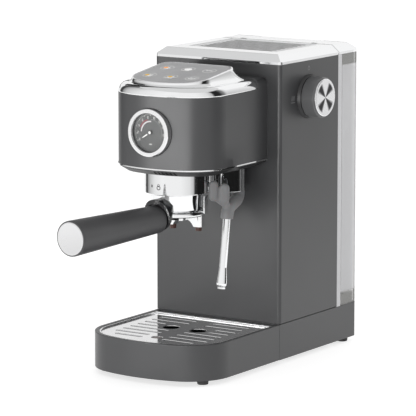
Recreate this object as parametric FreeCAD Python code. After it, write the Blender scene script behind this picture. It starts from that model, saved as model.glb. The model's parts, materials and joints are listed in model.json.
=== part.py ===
import FreeCAD, Part
import math
import os

# Slim home espresso machine, millimetres.
# Origin: on the counter, under the middle of the tower's front face.
# +X is the user's right, -Y is the front, +Z is up.

# ---------------------------------------------------------------- driving dimensions
BODY_W = 150.0            # width over the casing
TOWER_D = 111.5           # depth of the tower, front face at Y = 0
TANK_D = 40.2             # depth of the water tank behind the tower
FOOT_H = 5.0              # height of the rubber feet
BASE_H = 36.2             # height of the painted base above the feet
COLUMN_H = 262.4          # height of the casing between base and top frame
FRAME_H = 9.5             # height of the bevelled top frame
FRAME_INSET = 8.3         # how far the top frame's bevel leans in
SHEET = 1.5               # thickness of the casing sheet
BEND_R = 3.5              # bend radius at the tower's front corners
CORNER_R = 5.0            # rounding of the rear corners
SEAM = 0.9                # shadow gap between base and casing

GROUP_Y = -73.0           # axis of the brewing group
GROUP_R = 32.1            # outer radius of the bayonet collar
COLLAR_LOW = 180.4        # underside of the collar
HEAD_LOW = 209.2          # lower edge of the painted head
HEAD_HIGH = 280.0         # upper edge of the painted head
PLATE_LOW = 202.0         # underside of the black plate below the head
GAUGE_Z = 244.6           # centre height of the pressure gauge
KNOB_Y = 54.0             # axis of the steam knob
KNOB_Z = 267.0
STEAM_X = 28.0            # axis of the steam housing
STEAM_Y = -25.0
HANDLE_TURN = 5.06        # degrees from straight forward towards the left
HANDLE_LENGTH = 161.0     # group axis to the end of the handle
HANDLE_Z = 157.2          # handle axis at the cup
HANDLE_DROP = 2.4         # how far the handle's end lies below that
GRIP_START = 31.2         # group axis to the cup end of the grip
UNLOCK_TURN = 45.0        # bayonet turn of the portafilter

HALF_W = BODY_W / 2
BASE_TOP = FOOT_H + BASE_H
FRAME_LOW = BASE_TOP + COLUMN_H
TOP = FRAME_LOW + FRAME_H
BACK = TOWER_D + TANK_D
GROUP = (0.0, GROUP_Y)

# D outlines: half width, front apex, front arc radius, corner radius, back, back corner radius
TRAY_D = (HALF_W, -144.0, 157.0, 46.0, -0.4, 0.0)
HEAD_D = (59.5, -119.5, 104.0, 42.0, 0.0, 0.0)
COVER_D = (59.5, -119.5, 104.0, 42.0, -18.0, 0.0)
POD_D = (43.0, -108.0, 80.0, 24.0, -29.0, 12.0)

STEAM_R = 18.0
HOUSING_LOW = 178.0
COLLAR_HIGH = HEAD_LOW - 3.2
RIM_TOP = 192.0
GASKET_TOP = 198.6
CUP_LOW = 164.0
DISH_LOW = CUP_LOW - 6.2
DISH_R = 30.6
LUG_ANGLES = (10.0, 190.0)
LUG_HALF = 15.0

GAUGE_FRONT = -124.0
GAUGE_BODY_R = 21.0
BEZEL_R = 23.6
DIAL_Y = GAUGE_FRONT + 5.4
NEEDLE_REST = 32.0

PANEL_Z = 295.0
PANEL_TILT = 7.7

SPOUT_X = 15.2
SPOUT_Y = -57.0
SPOUT_LOW = 144.4

WARM_X = 53.0
WARM_Y = (27.0, 107.0)

BOTTOM_SCREWS = [(x, y) for x in (-66.0, 66.0) for y in (18.0, 112.0)]

GLAND_X = -40.0
GLAND_Z = 22.0
GLAND_R = 6.5

TANK_PORT = (0.0, 131.6)
TANK_FLOOR = BASE_TOP + 13.0
TANK_HIGH = FRAME_LOW - 0.3
SOCKET_R = 9.0
LID_Y = TOWER_D + 2.8
LID_Z = TOP - 1.9

PUMP = (-37.0, 58.0)

FINGER_R = 8.7
FINGER_X = 16.3
FINGER_Y = -59.5
FLOAT_PLACE = (0.0, -108.6)

WAND_BEND = 10.0
WAND_POINTS = [
    (36.0, -16.0, HOUSING_LOW + 4.6), (36.0, -16.0, 169.5), (45.0, -50.0, 164.0),
    (43.2, -58.0, 84.5),
]
GRIP_KNEE = WAND_POINTS[2]
GRIP_END = (44.8, -50.9, 154.0)

V = FreeCAD.Vector
UP = V(0, 0, 1)


# ---------------------------------------------------------------- helpers
def block(x, y, z):
    """Box between the given (low, high) pairs."""
    return Part.makeBox(x[1] - x[0], y[1] - y[0], z[1] - z[0], V(x[0], y[0], z[0]))


def rod(radius, start, end):
    """Solid cylinder from one point to another."""
    axis = V(*end) - V(*start)
    return Part.makeCylinder(radius, axis.Length, V(*start), axis)


def post(radius, centre, z):
    """Upright cylinder at centre (x, y) between two heights."""
    return Part.makeCylinder(radius, z[1] - z[0], V(centre[0], centre[1], z[0]))


def ring(outer, inner, centre, z):
    """Upright ring at centre (x, y) between two heights."""
    return post(outer, centre, z).cut(post(inner, centre, (z[0] - 1, z[1] + 1)))


def cone(low_r, high_r, centre, z):
    """Upright cone frustum."""
    return Part.makeCone(low_r, high_r, z[1] - z[0], V(centre[0], centre[1], z[0]))


def fused(shapes):
    """One solid from several that meet."""
    return shapes[0].fuse(shapes[1:]).removeSplitter()


def group(shapes):
    """Several separate solids in one node."""
    return Part.makeCompound(shapes)


def line(a, b):
    return Part.LineSegment(a, b).toShape()


def arc(a, mid, b):
    return Part.Arc(a, mid, b).toShape()


def is_upright(edge):
    return abs(edge.tangentAt(edge.FirstParameter).z) > 0.99


def soft_edges(shape, radius, wanted):
    """Round the edges that the test picks."""
    return shape.makeFillet(radius, [edge for edge in shape.Edges if wanted(edge)])


def prism(points, direction):
    """Extrude the closed polygon through the points."""
    corners = [V(*point) for point in points]
    return Part.Face(Part.makePolygon(corners + corners[:1])).extrude(V(*direction))


def dee_wire(outline, inset, z, keep_back=False):
    """Closed D outline at height z, shrunk by inset, with its curved side to the front."""
    half, apex, front_r, corner_r, back, back_r = outline
    half -= inset
    apex += inset
    front_r -= inset
    corner_r -= inset
    if not keep_back:
        back -= inset
    front_y = apex + front_r
    corner_x = half - corner_r
    reach = front_r - corner_r
    corner_y = front_y - math.sqrt(reach ** 2 - corner_x ** 2)
    lean = (corner_x / reach, (corner_y - front_y) / reach)
    bisector = V(1 + lean[0], lean[1], 0).normalize()
    join = (lean[0] * front_r, front_y + lean[1] * front_r)
    knee = (corner_x + bisector.x * corner_r, corner_y + bisector.y * corner_r)
    turn = 0.0
    if back_r:
        turn = back_r - inset
    side_end = back - turn
    edges = [
        line(V(half, side_end, z), V(half, corner_y, z)),
        arc(V(half, corner_y, z), V(knee[0], knee[1], z), V(join[0], join[1], z)),
        arc(V(join[0], join[1], z), V(0, apex, z), V(-join[0], join[1], z)),
        arc(V(-join[0], join[1], z), V(-knee[0], knee[1], z), V(-half, corner_y, z)),
        line(V(-half, corner_y, z), V(-half, side_end, z)),
    ]
    if turn:
        swing = turn * (1 - math.sqrt(0.5))
        edges.append(arc(V(-half, side_end, z), V(swing - half, back - swing, z),
                         V(turn - half, back, z)))
    edges.append(line(V(turn - half, back, z), V(half - turn, back, z)))
    if turn:
        edges.append(arc(V(half - turn, back, z), V(half - swing, back - swing, z),
                         V(half, side_end, z)))
    return Part.Wire(edges)


def dee(outline, inset, z, keep_back=False):
    """D-shaped block between two heights."""
    face = Part.Face(dee_wire(outline, inset, z[0], keep_back))
    return face.extrude(V(0, 0, z[1] - z[0]))


def dee_bevel(outline, low_inset, high_inset, z, keep_back=False):
    """D-shaped block whose outline changes from one inset to another."""
    wires = [
        dee_wire(outline, low_inset, z[0], keep_back),
        dee_wire(outline, high_inset, z[1], keep_back),
    ]
    return Part.makeLoft(wires, True, True)


def bent_rod(radius, points, bend):
    """Round bar along straight runs joined by tangent arcs of the given bend radius."""
    nodes = [V(*point) for point in points]
    edges = []
    start = nodes[0]
    for before, corner, after in zip(nodes, nodes[1:], nodes[2:]):
        inward = (before - corner).normalize()
        outward = (after - corner).normalize()
        half_angle = inward.getAngle(outward) / 2
        reach = bend / math.tan(half_angle)
        enter = corner + inward * reach
        leave = corner + outward * reach
        middle_way = (inward + outward).normalize()
        middle = corner + middle_way * (bend / math.sin(half_angle) - bend)
        edges.append(line(start, enter))
        edges.append(arc(enter, middle, leave))
        start = leave
    edges.append(line(start, nodes[-1]))
    path = Part.Wire(edges)
    section = Part.Wire([Part.Circle(nodes[0], nodes[1] - nodes[0], radius).toShape()])
    return path.makePipeShell([section], True, True)


def slot(length, width, centre, z):
    """Upright slot cutter with round ends, lying along X."""
    x, y = centre
    reach = length / 2 - width / 2
    ends = [post(width / 2, (x + side * reach, y), z) for side in (-1, 1)]
    bar = block((x - reach, x + reach), (y - width / 2, y + width / 2), z)
    return fused([bar] + ends)


def screw(head_r, shank_r, seat, tip):
    """Pan-head screw whose head stands on seat and whose shank ends at tip."""
    seat_point = V(*seat)
    way = (V(*tip) - seat_point).normalize()
    head = Part.makeCylinder(head_r, 1.6, seat_point - way * 1.6, way)
    return fused([head, rod(shank_r, seat, tip)])


def facing_handle(shape):
    """Turn a shape built along +X at the origin so that it lies along the handle."""
    tilt = math.degrees(math.atan2(HANDLE_DROP, HANDLE_LENGTH))
    placed = shape.copy()
    placed.rotate(V(0, 0, 0), V(0, 1, 0), tilt)
    placed.rotate(V(0, 0, 0), UP, -90 - HANDLE_TURN)
    placed.translate(V(0, GROUP_Y, HANDLE_Z))
    return placed


# ---------------------------------------------------------------- base
def plan_block(front, front_r, back, back_r, z):
    """Full-width upright block with its own corner radii in front and behind."""
    solid = block((-HALF_W, HALF_W), (front, back), z)
    for radius, place in ((front_r, front), (back_r, back)):
        if radius:
            solid = soft_edges(solid, radius, lambda edge: is_upright(edge)
                               and abs(edge.CenterOfMass.y - place) < 0.1)
    return solid


def base_outline(inset, z):
    """Rear base block with rounded back corners and a square front."""
    solid = block((inset - HALF_W, HALF_W - inset), (inset, BACK - inset), z)
    return soft_edges(solid, CORNER_R - inset,
                      lambda edge: is_upright(edge) and edge.CenterOfMass.y > BACK - 10)


def plinth():
    """Low rim on the base that the casing sheet drops over."""
    rise = (BASE_TOP - 1, BASE_TOP + 4)
    rim = tower_outline(SHEET + 0.15, rise).cut(tower_outline(SHEET + 1.7, rise))
    return rim.common(block((-HALF_W, HALF_W), (0, TOWER_D - 3), rise))


def base_chassis():
    wall = 2.0
    inner_top = BASE_TOP - wall
    shell = base_outline(0, (FOOT_H, BASE_TOP)).cut(base_outline(wall, (FOOT_H - 1, inner_top)))
    bosses = []
    for place in BOTTOM_SCREWS:
        boss = post(3.2, place, (FOOT_H + 2, inner_top + 0.5))
        bosses.append(boss.cut(post(1.45, place, (FOOT_H, FOOT_H + 12))))
    tower_well = block((-60, 60), (24, 98), (BASE_TOP - 4, BASE_TOP + 1))
    socket_hole = post(SOCKET_R, TANK_PORT, (BASE_TOP - 4, BASE_TOP + 1))
    gland_hole = rod(GLAND_R, (GLAND_X, BACK - 5, GLAND_Z), (GLAND_X, BACK + 5, GLAND_Z))
    throat = block((-68.2, 68.2), (-1, wall + 1), (FOOT_H - 1, FOOT_H + 2))
    return fused([shell, plinth()] + bosses).cut([tower_well, socket_hole, gland_hole, throat])


def bottom_plate():
    """Closes the base and runs forward under the drip tray, where it carries the front feet."""
    rear = base_outline(2.2, (FOOT_H, FOOT_H + 2))
    throat = block((-68, 68), (-1, 4), (FOOT_H, FOOT_H + 2))
    tongue = dee(TRAY_D, 5.0, (FOOT_H, FOOT_H + 2), True)
    runners = [block((x - 1.2, x + 1.2), (-110, -2), (FOOT_H + 2, FOOT_H + 3.6)) for x in (-40, 40)]
    vents = [slot(30, 3, (0, 30 + 8 * row), (FOOT_H - 1, FOOT_H + 3)) for row in range(6)]
    holes = [post(1.5, place, (FOOT_H - 1, FOOT_H + 3)) for place in BOTTOM_SCREWS]
    return fused([rear, throat, tongue] + runners).cut(vents + holes)


def feet():
    front = [(side * 57.5, -113.5) for side in (-1, 1)]
    rear = [(side * 66.0, 138.0) for side in (-1, 1)]
    pads = []
    for centre in front + rear:
        pad = cone(5.4, 5.9, centre, (0, FOOT_H))
        low_edge = [edge for edge in pad.Edges if edge.CenterOfMass.z < 0.01 and edge.Closed]
        pads.append(pad.makeFillet(0.8, low_edge))
    return group(pads)


# ---------------------------------------------------------------- tower
def tower_outline(inset, z):
    """Tower cross-section with small bend radii at its front corners."""
    outer = block((inset - HALF_W, HALF_W - inset), (inset, TOWER_D + inset), z)
    return soft_edges(outer, BEND_R - inset,
                      lambda edge: is_upright(edge) and edge.CenterOfMass.y < 20)


def tower_casing():
    tall = (BASE_TOP + SEAM, FRAME_LOW)
    sheet = tower_outline(0, tall).cut(tower_outline(SHEET, (tall[0] - 1, tall[1] + 1)))
    head_window = block((-46, 46), (-5, 8), (216, 272))
    spindle_hole = rod(9, (HALF_W - 10, KNOB_Y, KNOB_Z), (HALF_W + 5, KNOB_Y, KNOB_Z))
    return sheet.cut([head_window, spindle_hole])


def rear_bulkhead():
    """Back wall of the tower, with the two upright rails that guide the tank."""
    inner = HALF_W - SHEET - 0.1
    tall = (BASE_TOP, FRAME_LOW - 0.2)
    plate = block((-inner, inner), (TOWER_D - 2.5, TOWER_D - 0.5), tall)
    rails = []
    for side in (-1, 1):
        x = sorted((side * (HALF_W - 0.1), side * (HALF_W - 4)))
        rails.append(block(x, (TOWER_D, TOWER_D + 7.5), tall))
        web = sorted((side * inner, side * (HALF_W - 4)))
        rails.append(block(web, (TOWER_D - 1, TOWER_D + 1), tall))
    return fused([plate] + rails)


def frame_profile(front, back, front_bevel, back_bevel):
    """Bevelled block over the casing: side bevels always, front and back bevels as asked."""
    lip = FRAME_LOW + 2.5
    across = prism([
        (-HALF_W, front, FRAME_LOW), (HALF_W, front, FRAME_LOW), (HALF_W, front, lip),
        (HALF_W - FRAME_INSET, front, TOP), (FRAME_INSET - HALF_W, front, TOP),
        (-HALF_W, front, lip),
    ], (0, back - front, 0))
    along = prism([
        (-HALF_W, front, FRAME_LOW), (-HALF_W, back, FRAME_LOW), (-HALF_W, back, lip),
        (-HALF_W, back - back_bevel, TOP), (-HALF_W, front + front_bevel, TOP),
        (-HALF_W, front, lip),
    ], (BODY_W, 0, 0))
    return across.common(along)


def is_top_rim(edge):
    """Outer edges of a bevelled block's flat top, not those beside the seam."""
    middle = edge.CenterOfMass
    return middle.z > TOP - 0.01 and abs(middle.y - TOWER_D) > 1.5


def top_frame():
    plan = plan_block(0, BEND_R, TOWER_D, 0, (FRAME_LOW, TOP))
    body = frame_profile(0, TOWER_D, FRAME_INSET, 0).common(plan)
    body = soft_edges(body, 0.8, is_top_rim)
    hollow = block((-64, 64), (10, TOWER_D - 2), (FRAME_LOW - 1, TOP - 3.5))
    window = block((-WARM_X, WARM_X), WARM_Y, (FRAME_LOW - 1, TOP + 1))
    ledge = block((-WARM_X - 2, WARM_X + 2), (WARM_Y[0] - 2, WARM_Y[1] + 2), (TOP - 3.6, TOP - 1.8))
    return body.cut([hollow, window, ledge])


def warming_plate():
    top = (TOP - 1.8, TOP - 0.3)
    plate = block((0.2 - WARM_X, WARM_X - 0.2), (WARM_Y[0] + 0.2, WARM_Y[1] - 0.2), top)
    flange = block((-WARM_X - 1.8, WARM_X + 1.8), (WARM_Y[0] - 1.8, WARM_Y[1] + 1.8),
                   (TOP - 3.3, TOP - 1.8))
    flange = flange.cut(block((4 - WARM_X, WARM_X - 4), (WARM_Y[0] + 4, WARM_Y[1] - 4),
                              (TOP - 5, TOP)))
    rows = 9
    columns = 10
    cutters = []
    for row in range(rows):
        y = WARM_Y[0] + 8 + row * (WARM_Y[1] - WARM_Y[0] - 16) / (rows - 1)
        shift = 2.5 if row % 2 else -2.5
        for column in range(columns):
            x = (column - (columns - 1) / 2) * 10 + shift
            cutters.append(slot(7.0, 2.6, (x, y), (TOP - 5, TOP + 1)))
    return fused([plate, flange]).cut(cutters)


def casing_screws():
    """Small screws of the bottom plate, the brewing group and the shower screen."""
    screws = []
    for x, y in BOTTOM_SCREWS:
        screws.append(screw(3.0, 1.4, (x, y, FOOT_H), (x, y, FOOT_H + 11)))
    for index in range(4):
        angle = math.radians(45 + 90 * index)
        x = 29.8 * math.cos(angle)
        y = GROUP_Y + 29.8 * math.sin(angle)
        screws.append(post(1.6, (x, y), (COLLAR_HIGH + 3, COLLAR_HIGH + 4.6)))
    screws.append(screw(3.0, 1.3, (0, GROUP_Y, GASKET_TOP), (0, GROUP_Y, GASKET_TOP + 5)))
    return group(screws)


# ---------------------------------------------------------------- brewing head
def head_shell():
    wall = 2.0
    shell = dee(HEAD_D, 0, (HEAD_LOW, HEAD_HIGH), True)
    shell = shell.cut(dee(HEAD_D, wall, (HEAD_LOW - 1, HEAD_HIGH + 1), True))
    half = HEAD_D[0]
    neck_top = HEAD_HIGH + 11
    neck = block((-half, half), (COVER_D[4] + 0.3, 0), (HEAD_HIGH, neck_top))
    core = block((wall - half, half - wall), (COVER_D[4] + wall, 1), (HEAD_HIGH - 1, neck_top - wall))
    neck = soft_edges(neck, 7.0, lambda edge: edge.CenterOfMass.z > neck_top - 0.1
                      and abs(edge.CenterOfMass.x) > half - 0.1)
    gauge_hole = rod(BEZEL_R + 0.25, (0, -130, GAUGE_Z), (0, -60, GAUGE_Z))
    return fused([shell, neck.cut(core)]).cut(gauge_hole)


def cover_block(inset, z_drop):
    """The chrome head cover: a short upright lip, a bevel and a flat top."""
    lip = HEAD_HIGH + 1.2
    high = HEAD_HIGH + 9.5 - z_drop
    lower = dee(COVER_D, inset, (HEAD_HIGH, lip), True)
    upper = dee_bevel(COVER_D, inset, inset + 8.6, (lip, high), True)
    return fused([lower, upper])


def head_top_cover():
    body = cover_block(0, 0)
    rim = [edge for edge in body.Edges
           if edge.CenterOfMass.z > HEAD_HIGH + 9.4 and edge.CenterOfMass.y < COVER_D[4] - 1]
    body = body.makeFillet(1.5, rim)
    cavity = cover_block(2.0, 2.0).translated(V(0, 0, -0.01))
    well = dee(POD_D, 8.0, (HEAD_HIGH, HEAD_HIGH + 12))
    return body.cut([cavity, well])


def tilted(shape):
    """Tilt a shape built level at the panel's height to the panel's slope."""
    placed = shape.copy()
    placed.rotate(V(0, -90, PANEL_Z), V(1, 0, 0), PANEL_TILT)
    return placed


def control_pod():
    foot = dee_wire(POD_D, -3.2, HEAD_HIGH + 9.5)
    neck = tilted(dee_wire(POD_D, 0.9, PANEL_Z - 2.2))
    brow = tilted(dee_wire(POD_D, 0, PANEL_Z))
    skirt = fused([Part.makeLoft([foot, neck], True, True), Part.makeLoft([neck, brow], True, True)])
    pocket = tilted(dee(POD_D, 1.3, (PANEL_Z - 1.8, PANEL_Z + 2)))
    cavity = dee(POD_D, 5.0, (HEAD_HIGH, PANEL_Z + 20))
    return skirt.cut([pocket, cavity])


def control_panel():
    return tilted(dee(POD_D, 1.45, (PANEL_Z - 1.8, PANEL_Z - 0.2)))


def key_places():
    return [(x, y) for y in (-83.0, -51.7) for x in (-25.0, 0.0, 25.0)]


def control_board():
    """Board below the panel, with one sprung pad for each key."""
    board = dee(POD_D, 10.0, (PANEL_Z - 5.9, PANEL_Z - 4.3))
    chip = block((-6, 6), (-74, -62), (PANEL_Z - 7.4, PANEL_Z - 5.9))
    pads = [post(4.5, place, (PANEL_Z - 4.3, PANEL_Z - 1.8)) for place in key_places()]
    return tilted(fused([board, chip] + pads))


def head_trim():
    band = (HEAD_LOW - 1.3, HEAD_LOW)
    return dee(HEAD_D, -0.5, band, True).cut(dee(HEAD_D, 2.5, band, True))


def head_bottom_plate():
    lip = HEAD_LOW - 1.3
    upper = dee(HEAD_D, 1.0, (lip - 1.2, lip), True)
    lower = dee_bevel(HEAD_D, 8.5, 1.0, (PLATE_LOW, lip - 1.2), True)
    cavity = dee_bevel(HEAD_D, 11.5, 4.0, (PLATE_LOW + 2, lip + 0.1), True)
    collar_hole = post(GROUP_R + 0.4, GROUP, (PLATE_LOW - 2, HEAD_LOW))
    steam_hole = post(STEAM_R + 0.3, (STEAM_X, STEAM_Y), (PLATE_LOW - 2, HEAD_LOW))
    vents = []
    for index in range(6):
        x = 2 + index * 4.2
        vents.append(block((x, x + 2.2), (-125, -104.5), (PLATE_LOW + 0.6, lip - 2)))
    return fused([upper, lower]).cut([cavity, collar_hole, steam_hole] + vents)


# ---------------------------------------------------------------- brewing group
def sector(outer, inner, start, sweep, z):
    """Part of a ring about the group axis, from start degrees over sweep degrees."""
    wedge = Part.makeCylinder(outer, z[1] - z[0], V(0, GROUP_Y, z[0]), UP, sweep)
    wedge.rotate(V(0, GROUP_Y, 0), UP, start)
    return wedge.cut(post(inner, GROUP, (z[0] - 1, z[1] + 1)))


def group_collar():
    ledge_high = COLLAR_LOW + 3.0
    ledge = ring(GROUP_R, 27.4, GROUP, (COLLAR_LOW, ledge_high))
    wall = ring(GROUP_R, 29.7, GROUP, (ledge_high, COLLAR_HIGH))
    flange = ring(GROUP_R, 29.7, GROUP, (COLLAR_HIGH - 2.5, COLLAR_HIGH))
    collar = fused([ledge, wall, flange])
    low_rim = [edge for edge in collar.Edges if abs(edge.CenterOfMass.z - COLLAR_LOW) < 0.01
               and edge.BoundBox.XLength > 2 * GROUP_R - 1]
    collar = collar.makeFillet(0.8, low_rim)
    entries = [
        sector(29.7, 20, middle - UNLOCK_TURN - LUG_HALF - 3, 2 * LUG_HALF + 6,
               (COLLAR_LOW - 1, ledge_high + 0.1))
        for middle in LUG_ANGLES
    ]
    return collar.cut(entries)


def brew_head():
    boiler = post(27.5, GROUP, (COLLAR_HIGH, 258))
    boiler = soft_edges(boiler, 4.0, lambda edge: edge.CenterOfMass.z > 257 and edge.Closed)
    flange = post(GROUP_R, GROUP, (COLLAR_HIGH, COLLAR_HIGH + 3))
    nozzle = post(27.0, GROUP, (GASKET_TOP, COLLAR_HIGH))
    outlet = block((-8, 8), (GROUP_Y + 24, GROUP_Y + 38), (230, 246))
    screen_seat = post(22.4, GROUP, (GASKET_TOP - 1, GASKET_TOP + 2.2))
    water_way = post(2.0, GROUP, (GASKET_TOP, 220))
    return fused([boiler, flange, nozzle, outlet]).cut([screen_seat, water_way])


def shower_screen():
    disc = post(22.0, GROUP, (GASKET_TOP, GASKET_TOP + 1.2))
    holes = [post(1.4, GROUP, (GASKET_TOP - 1, GASKET_TOP + 3))]
    for ring_index in (1, 2, 3, 4):
        count = 8 * ring_index
        for index in range(count):
            angle = 2 * math.pi * index / count
            spot = (4.6 * ring_index * math.cos(angle), GROUP_Y + 4.6 * ring_index * math.sin(angle))
            holes.append(post(0.6, spot, (GASKET_TOP - 1, GASKET_TOP + 3)))
    return disc.cut(holes)


def group_gasket():
    return ring(27.0, 22.6, GROUP, (RIM_TOP + 0.1, GASKET_TOP))


def thermostats():
    cans = []
    for side in (-1, 1):
        cans.append(rod(7, (side * 27.5, GROUP_Y, 240), (side * 33, GROUP_Y, 240)))
    return group(cans)


# ---------------------------------------------------------------- pressure gauge
def gauge_case():
    can = rod(GAUGE_BODY_R, (0, GAUGE_FRONT + 2.5, GAUGE_Z), (0, GAUGE_FRONT + 21, GAUGE_Z))
    bowl = rod(GAUGE_BODY_R - 1.2, (0, GAUGE_FRONT - 1, GAUGE_Z), (0, GAUGE_FRONT + 17, GAUGE_Z))
    spindle_bore = rod(0.9, (0, GAUGE_FRONT, GAUGE_Z), (0, GAUGE_FRONT + 19, GAUGE_Z))
    return can.cut([bowl, spindle_bore])


def gauge_bezel():
    depth = 12.0
    outer = rod(BEZEL_R, (0, GAUGE_FRONT, GAUGE_Z), (0, GAUGE_FRONT + depth, GAUGE_Z))
    outer = soft_edges(outer, 1.2, lambda edge: edge.Closed and edge.CenterOfMass.y < GAUGE_FRONT + 0.1)
    mouth = rod(19.6, (0, GAUGE_FRONT - 1, GAUGE_Z), (0, GAUGE_FRONT + 2.5, GAUGE_Z))
    seat = rod(GAUGE_BODY_R + 0.05, (0, GAUGE_FRONT + 2.5, GAUGE_Z), (0, GAUGE_FRONT + 20, GAUGE_Z))
    return outer.cut([mouth, seat])


def gauge_dial():
    disc = rod(19.7, (0, DIAL_Y, GAUGE_Z), (0, DIAL_Y + 1, GAUGE_Z))
    return disc.cut(rod(0.9, (0, DIAL_Y - 1, GAUGE_Z), (0, DIAL_Y + 3, GAUGE_Z)))


def gauge_lens():
    return rod(19.5, (0, GAUGE_FRONT + 0.7, GAUGE_Z), (0, GAUGE_FRONT + 2.2, GAUGE_Z))


def gauge_needle():
    """Needle at rest, pointing to the lower left, on its spindle."""
    y = (DIAL_Y - 1.3, DIAL_Y - 0.7)
    pointer = prism([
        (1.4, y[0], -0.9), (1.4, y[0], 0.9), (-10.5, y[0], 0.35), (-10.5, y[0], -0.35),
    ], (0, y[1] - y[0], 0))
    pointer.rotate(V(0, 0, 0), V(0, 1, 0), -NEEDLE_REST)
    pointer.translate(V(0, 0, GAUGE_Z))
    hub = rod(2.2, (0, y[0] - 0.5, GAUGE_Z), (0, y[1], GAUGE_Z))
    spindle = rod(0.85, (0, y[1], GAUGE_Z), (0, GAUGE_FRONT + 18, GAUGE_Z))
    return fused([pointer, hub, spindle])


# ---------------------------------------------------------------- portafilter
def portafilter_cup():
    lower = cone(24.9, 25.6, GROUP, (CUP_LOW, COLLAR_LOW + 1.6))
    upper = post(26.9, GROUP, (COLLAR_LOW + 1.6, RIM_TOP - 0.6))
    lugs = [
        sector(29.2, 26.0, middle - LUG_HALF, 2 * LUG_HALF, (COLLAR_LOW + 3.5, COLLAR_LOW + 7))
        for middle in LUG_ANGLES
    ]
    hollow = post(24.2, GROUP, (CUP_LOW + 2, RIM_TOP))
    outlet = post(4.0, GROUP, (CUP_LOW - 1, CUP_LOW + 3))
    return fused([lower, upper] + lugs).cut([hollow, outlet])


def filter_basket():
    floor = CUP_LOW + 4
    lip = ring(26.6, 23.3, GROUP, (RIM_TOP - 0.6, RIM_TOP))
    wall = post(23.9, GROUP, (floor, RIM_TOP - 0.6)).cut(post(23.3, GROUP, (floor + 0.6, RIM_TOP)))
    holes = []
    for ring_index in (1, 2, 3, 4):
        count = 7 * ring_index
        for index in range(count):
            angle = 2 * math.pi * index / count
            spot = (4.8 * ring_index * math.cos(angle), GROUP_Y + 4.8 * ring_index * math.sin(angle))
            holes.append(post(0.5, spot, (floor - 1, floor + 2)))
    return fused([wall, lip]).cut(holes)


def basket_spring():
    """Open wire ring in the gap between basket and cup."""
    wire = ring(24.15, 23.95, GROUP, (CUP_LOW + 14, CUP_LOW + 14.8))
    return wire.cut(block((-4, 4), (GROUP_Y, GROUP_Y + 30), (CUP_LOW + 10, CUP_LOW + 20)))


def retainer_dish():
    """Chrome saucer under the cup, with one ear turned up on the right."""
    outer = DISH_R - 0.4
    turn = 2.3
    swing = turn * (1 - math.sqrt(0.5))
    shoulder = V(26.0, 0, CUP_LOW)
    rim_high = V(outer, 0, DISH_LOW + turn)
    rim_low = V(outer - turn, 0, DISH_LOW)
    centre_low = V(0, 0, DISH_LOW)
    centre_high = V(0, 0, CUP_LOW)
    outline = [
        line(centre_low, rim_low), arc(rim_low, V(outer - swing, 0, DISH_LOW + swing), rim_high),
        arc(rim_high, V(outer - 1.4, 0, CUP_LOW - 1.4), shoulder), line(shoulder, centre_high),
        line(centre_high, centre_low),
    ]
    dish = Part.Face(Part.Wire(outline)).revolve(V(0, 0, 0), UP, 360)
    dish.translate(V(0, GROUP_Y, 0))
    ear = sector(DISH_R, DISH_R - 1.6, 8, 34, (CUP_LOW - 4.0, COLLAR_LOW - 3.0))
    outlet = post(4.0, GROUP, (DISH_LOW - 1, CUP_LOW + 3))
    bolt_way = facing_handle(rod(3.05, (24, 0, 0), (45, 0, 0)))
    return fused([dish, ear]).cut([outlet, bolt_way])


def spout_body():
    """Twin spout: a flat plate with an arch between its two legs, hung behind the cup's middle."""
    top = DISH_LOW
    y = (SPOUT_Y - 5, SPOUT_Y + 5)
    plate = block((-20.3, 20.3), y, (SPOUT_LOW, top))
    plate = soft_edges(plate, 3.0, lambda edge: abs(edge.CenterOfMass.x) > 20
                       and abs(edge.tangentAt(edge.FirstParameter).z) > 0.99)
    arch = rod(13.5, (0, y[0] - 1, SPOUT_LOW - 5.5), (0, y[1] + 1, SPOUT_LOW - 5.5))
    channel = soft_edges(block((-11, 11), (GROUP_Y - 9, SPOUT_Y), (top - 5, top)), 4.0,
                         lambda edge: edge.CenterOfMass.y < GROUP_Y - 8
                         and abs(edge.tangentAt(edge.FirstParameter).z) > 0.99)
    ways = [post(1.8, (side * SPOUT_X, SPOUT_Y), (SPOUT_LOW - 1, SPOUT_LOW + 8)) for side in (-1, 1)]
    inlet = post(3.0, GROUP, (top - 3, top + 1))
    return fused([plate, channel]).cut([arch, inlet] + ways)


def spout_tips():
    tips = []
    for side in (-1, 1):
        centre = (side * SPOUT_X, SPOUT_Y)
        tips.append(ring(3.2, 1.8, centre, (SPOUT_LOW - 4.2, SPOUT_LOW)))
    return group(tips)


def handle_profile():
    """Handle grip outline along its axis: slim at the neck, fuller towards the end."""
    return [
        (GRIP_START, 0), (GRIP_START, 12.6), (GRIP_START + 1.2, 13.8), (60.0, 14.6), (100.0, 15.7),
        (140.0, 16.9), (158.5, 17.4), (HANDLE_LENGTH - 0.4, 17.2), (HANDLE_LENGTH, 16.8),
        (HANDLE_LENGTH, 0),
    ]


def handle_grip():
    shape = handle_profile()
    points = [V(x, 0, r) for x, r in shape]
    sleeve = Part.BSplineCurve()
    sleeve.interpolate(points[2:7])
    outline = [line(points[0], points[1]), line(points[1], points[2]), sleeve.toShape()]
    for a, b in zip(points[6:], points[7:]):
        outline.append(line(a, b))
    outline.append(line(points[-1], points[0]))
    body = Part.Face(Part.Wire(outline)).revolve(V(0, 0, 0), V(1, 0, 0), 360)
    bore = rod(3.05, (GRIP_START - 1, 0, 0), (70, 0, 0))
    cap_seat = rod(16.2, (HANDLE_LENGTH - 2.5, 0, 0), (HANDLE_LENGTH + 1, 0, 0))
    return facing_handle(body.cut([bore, cap_seat]))


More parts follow.
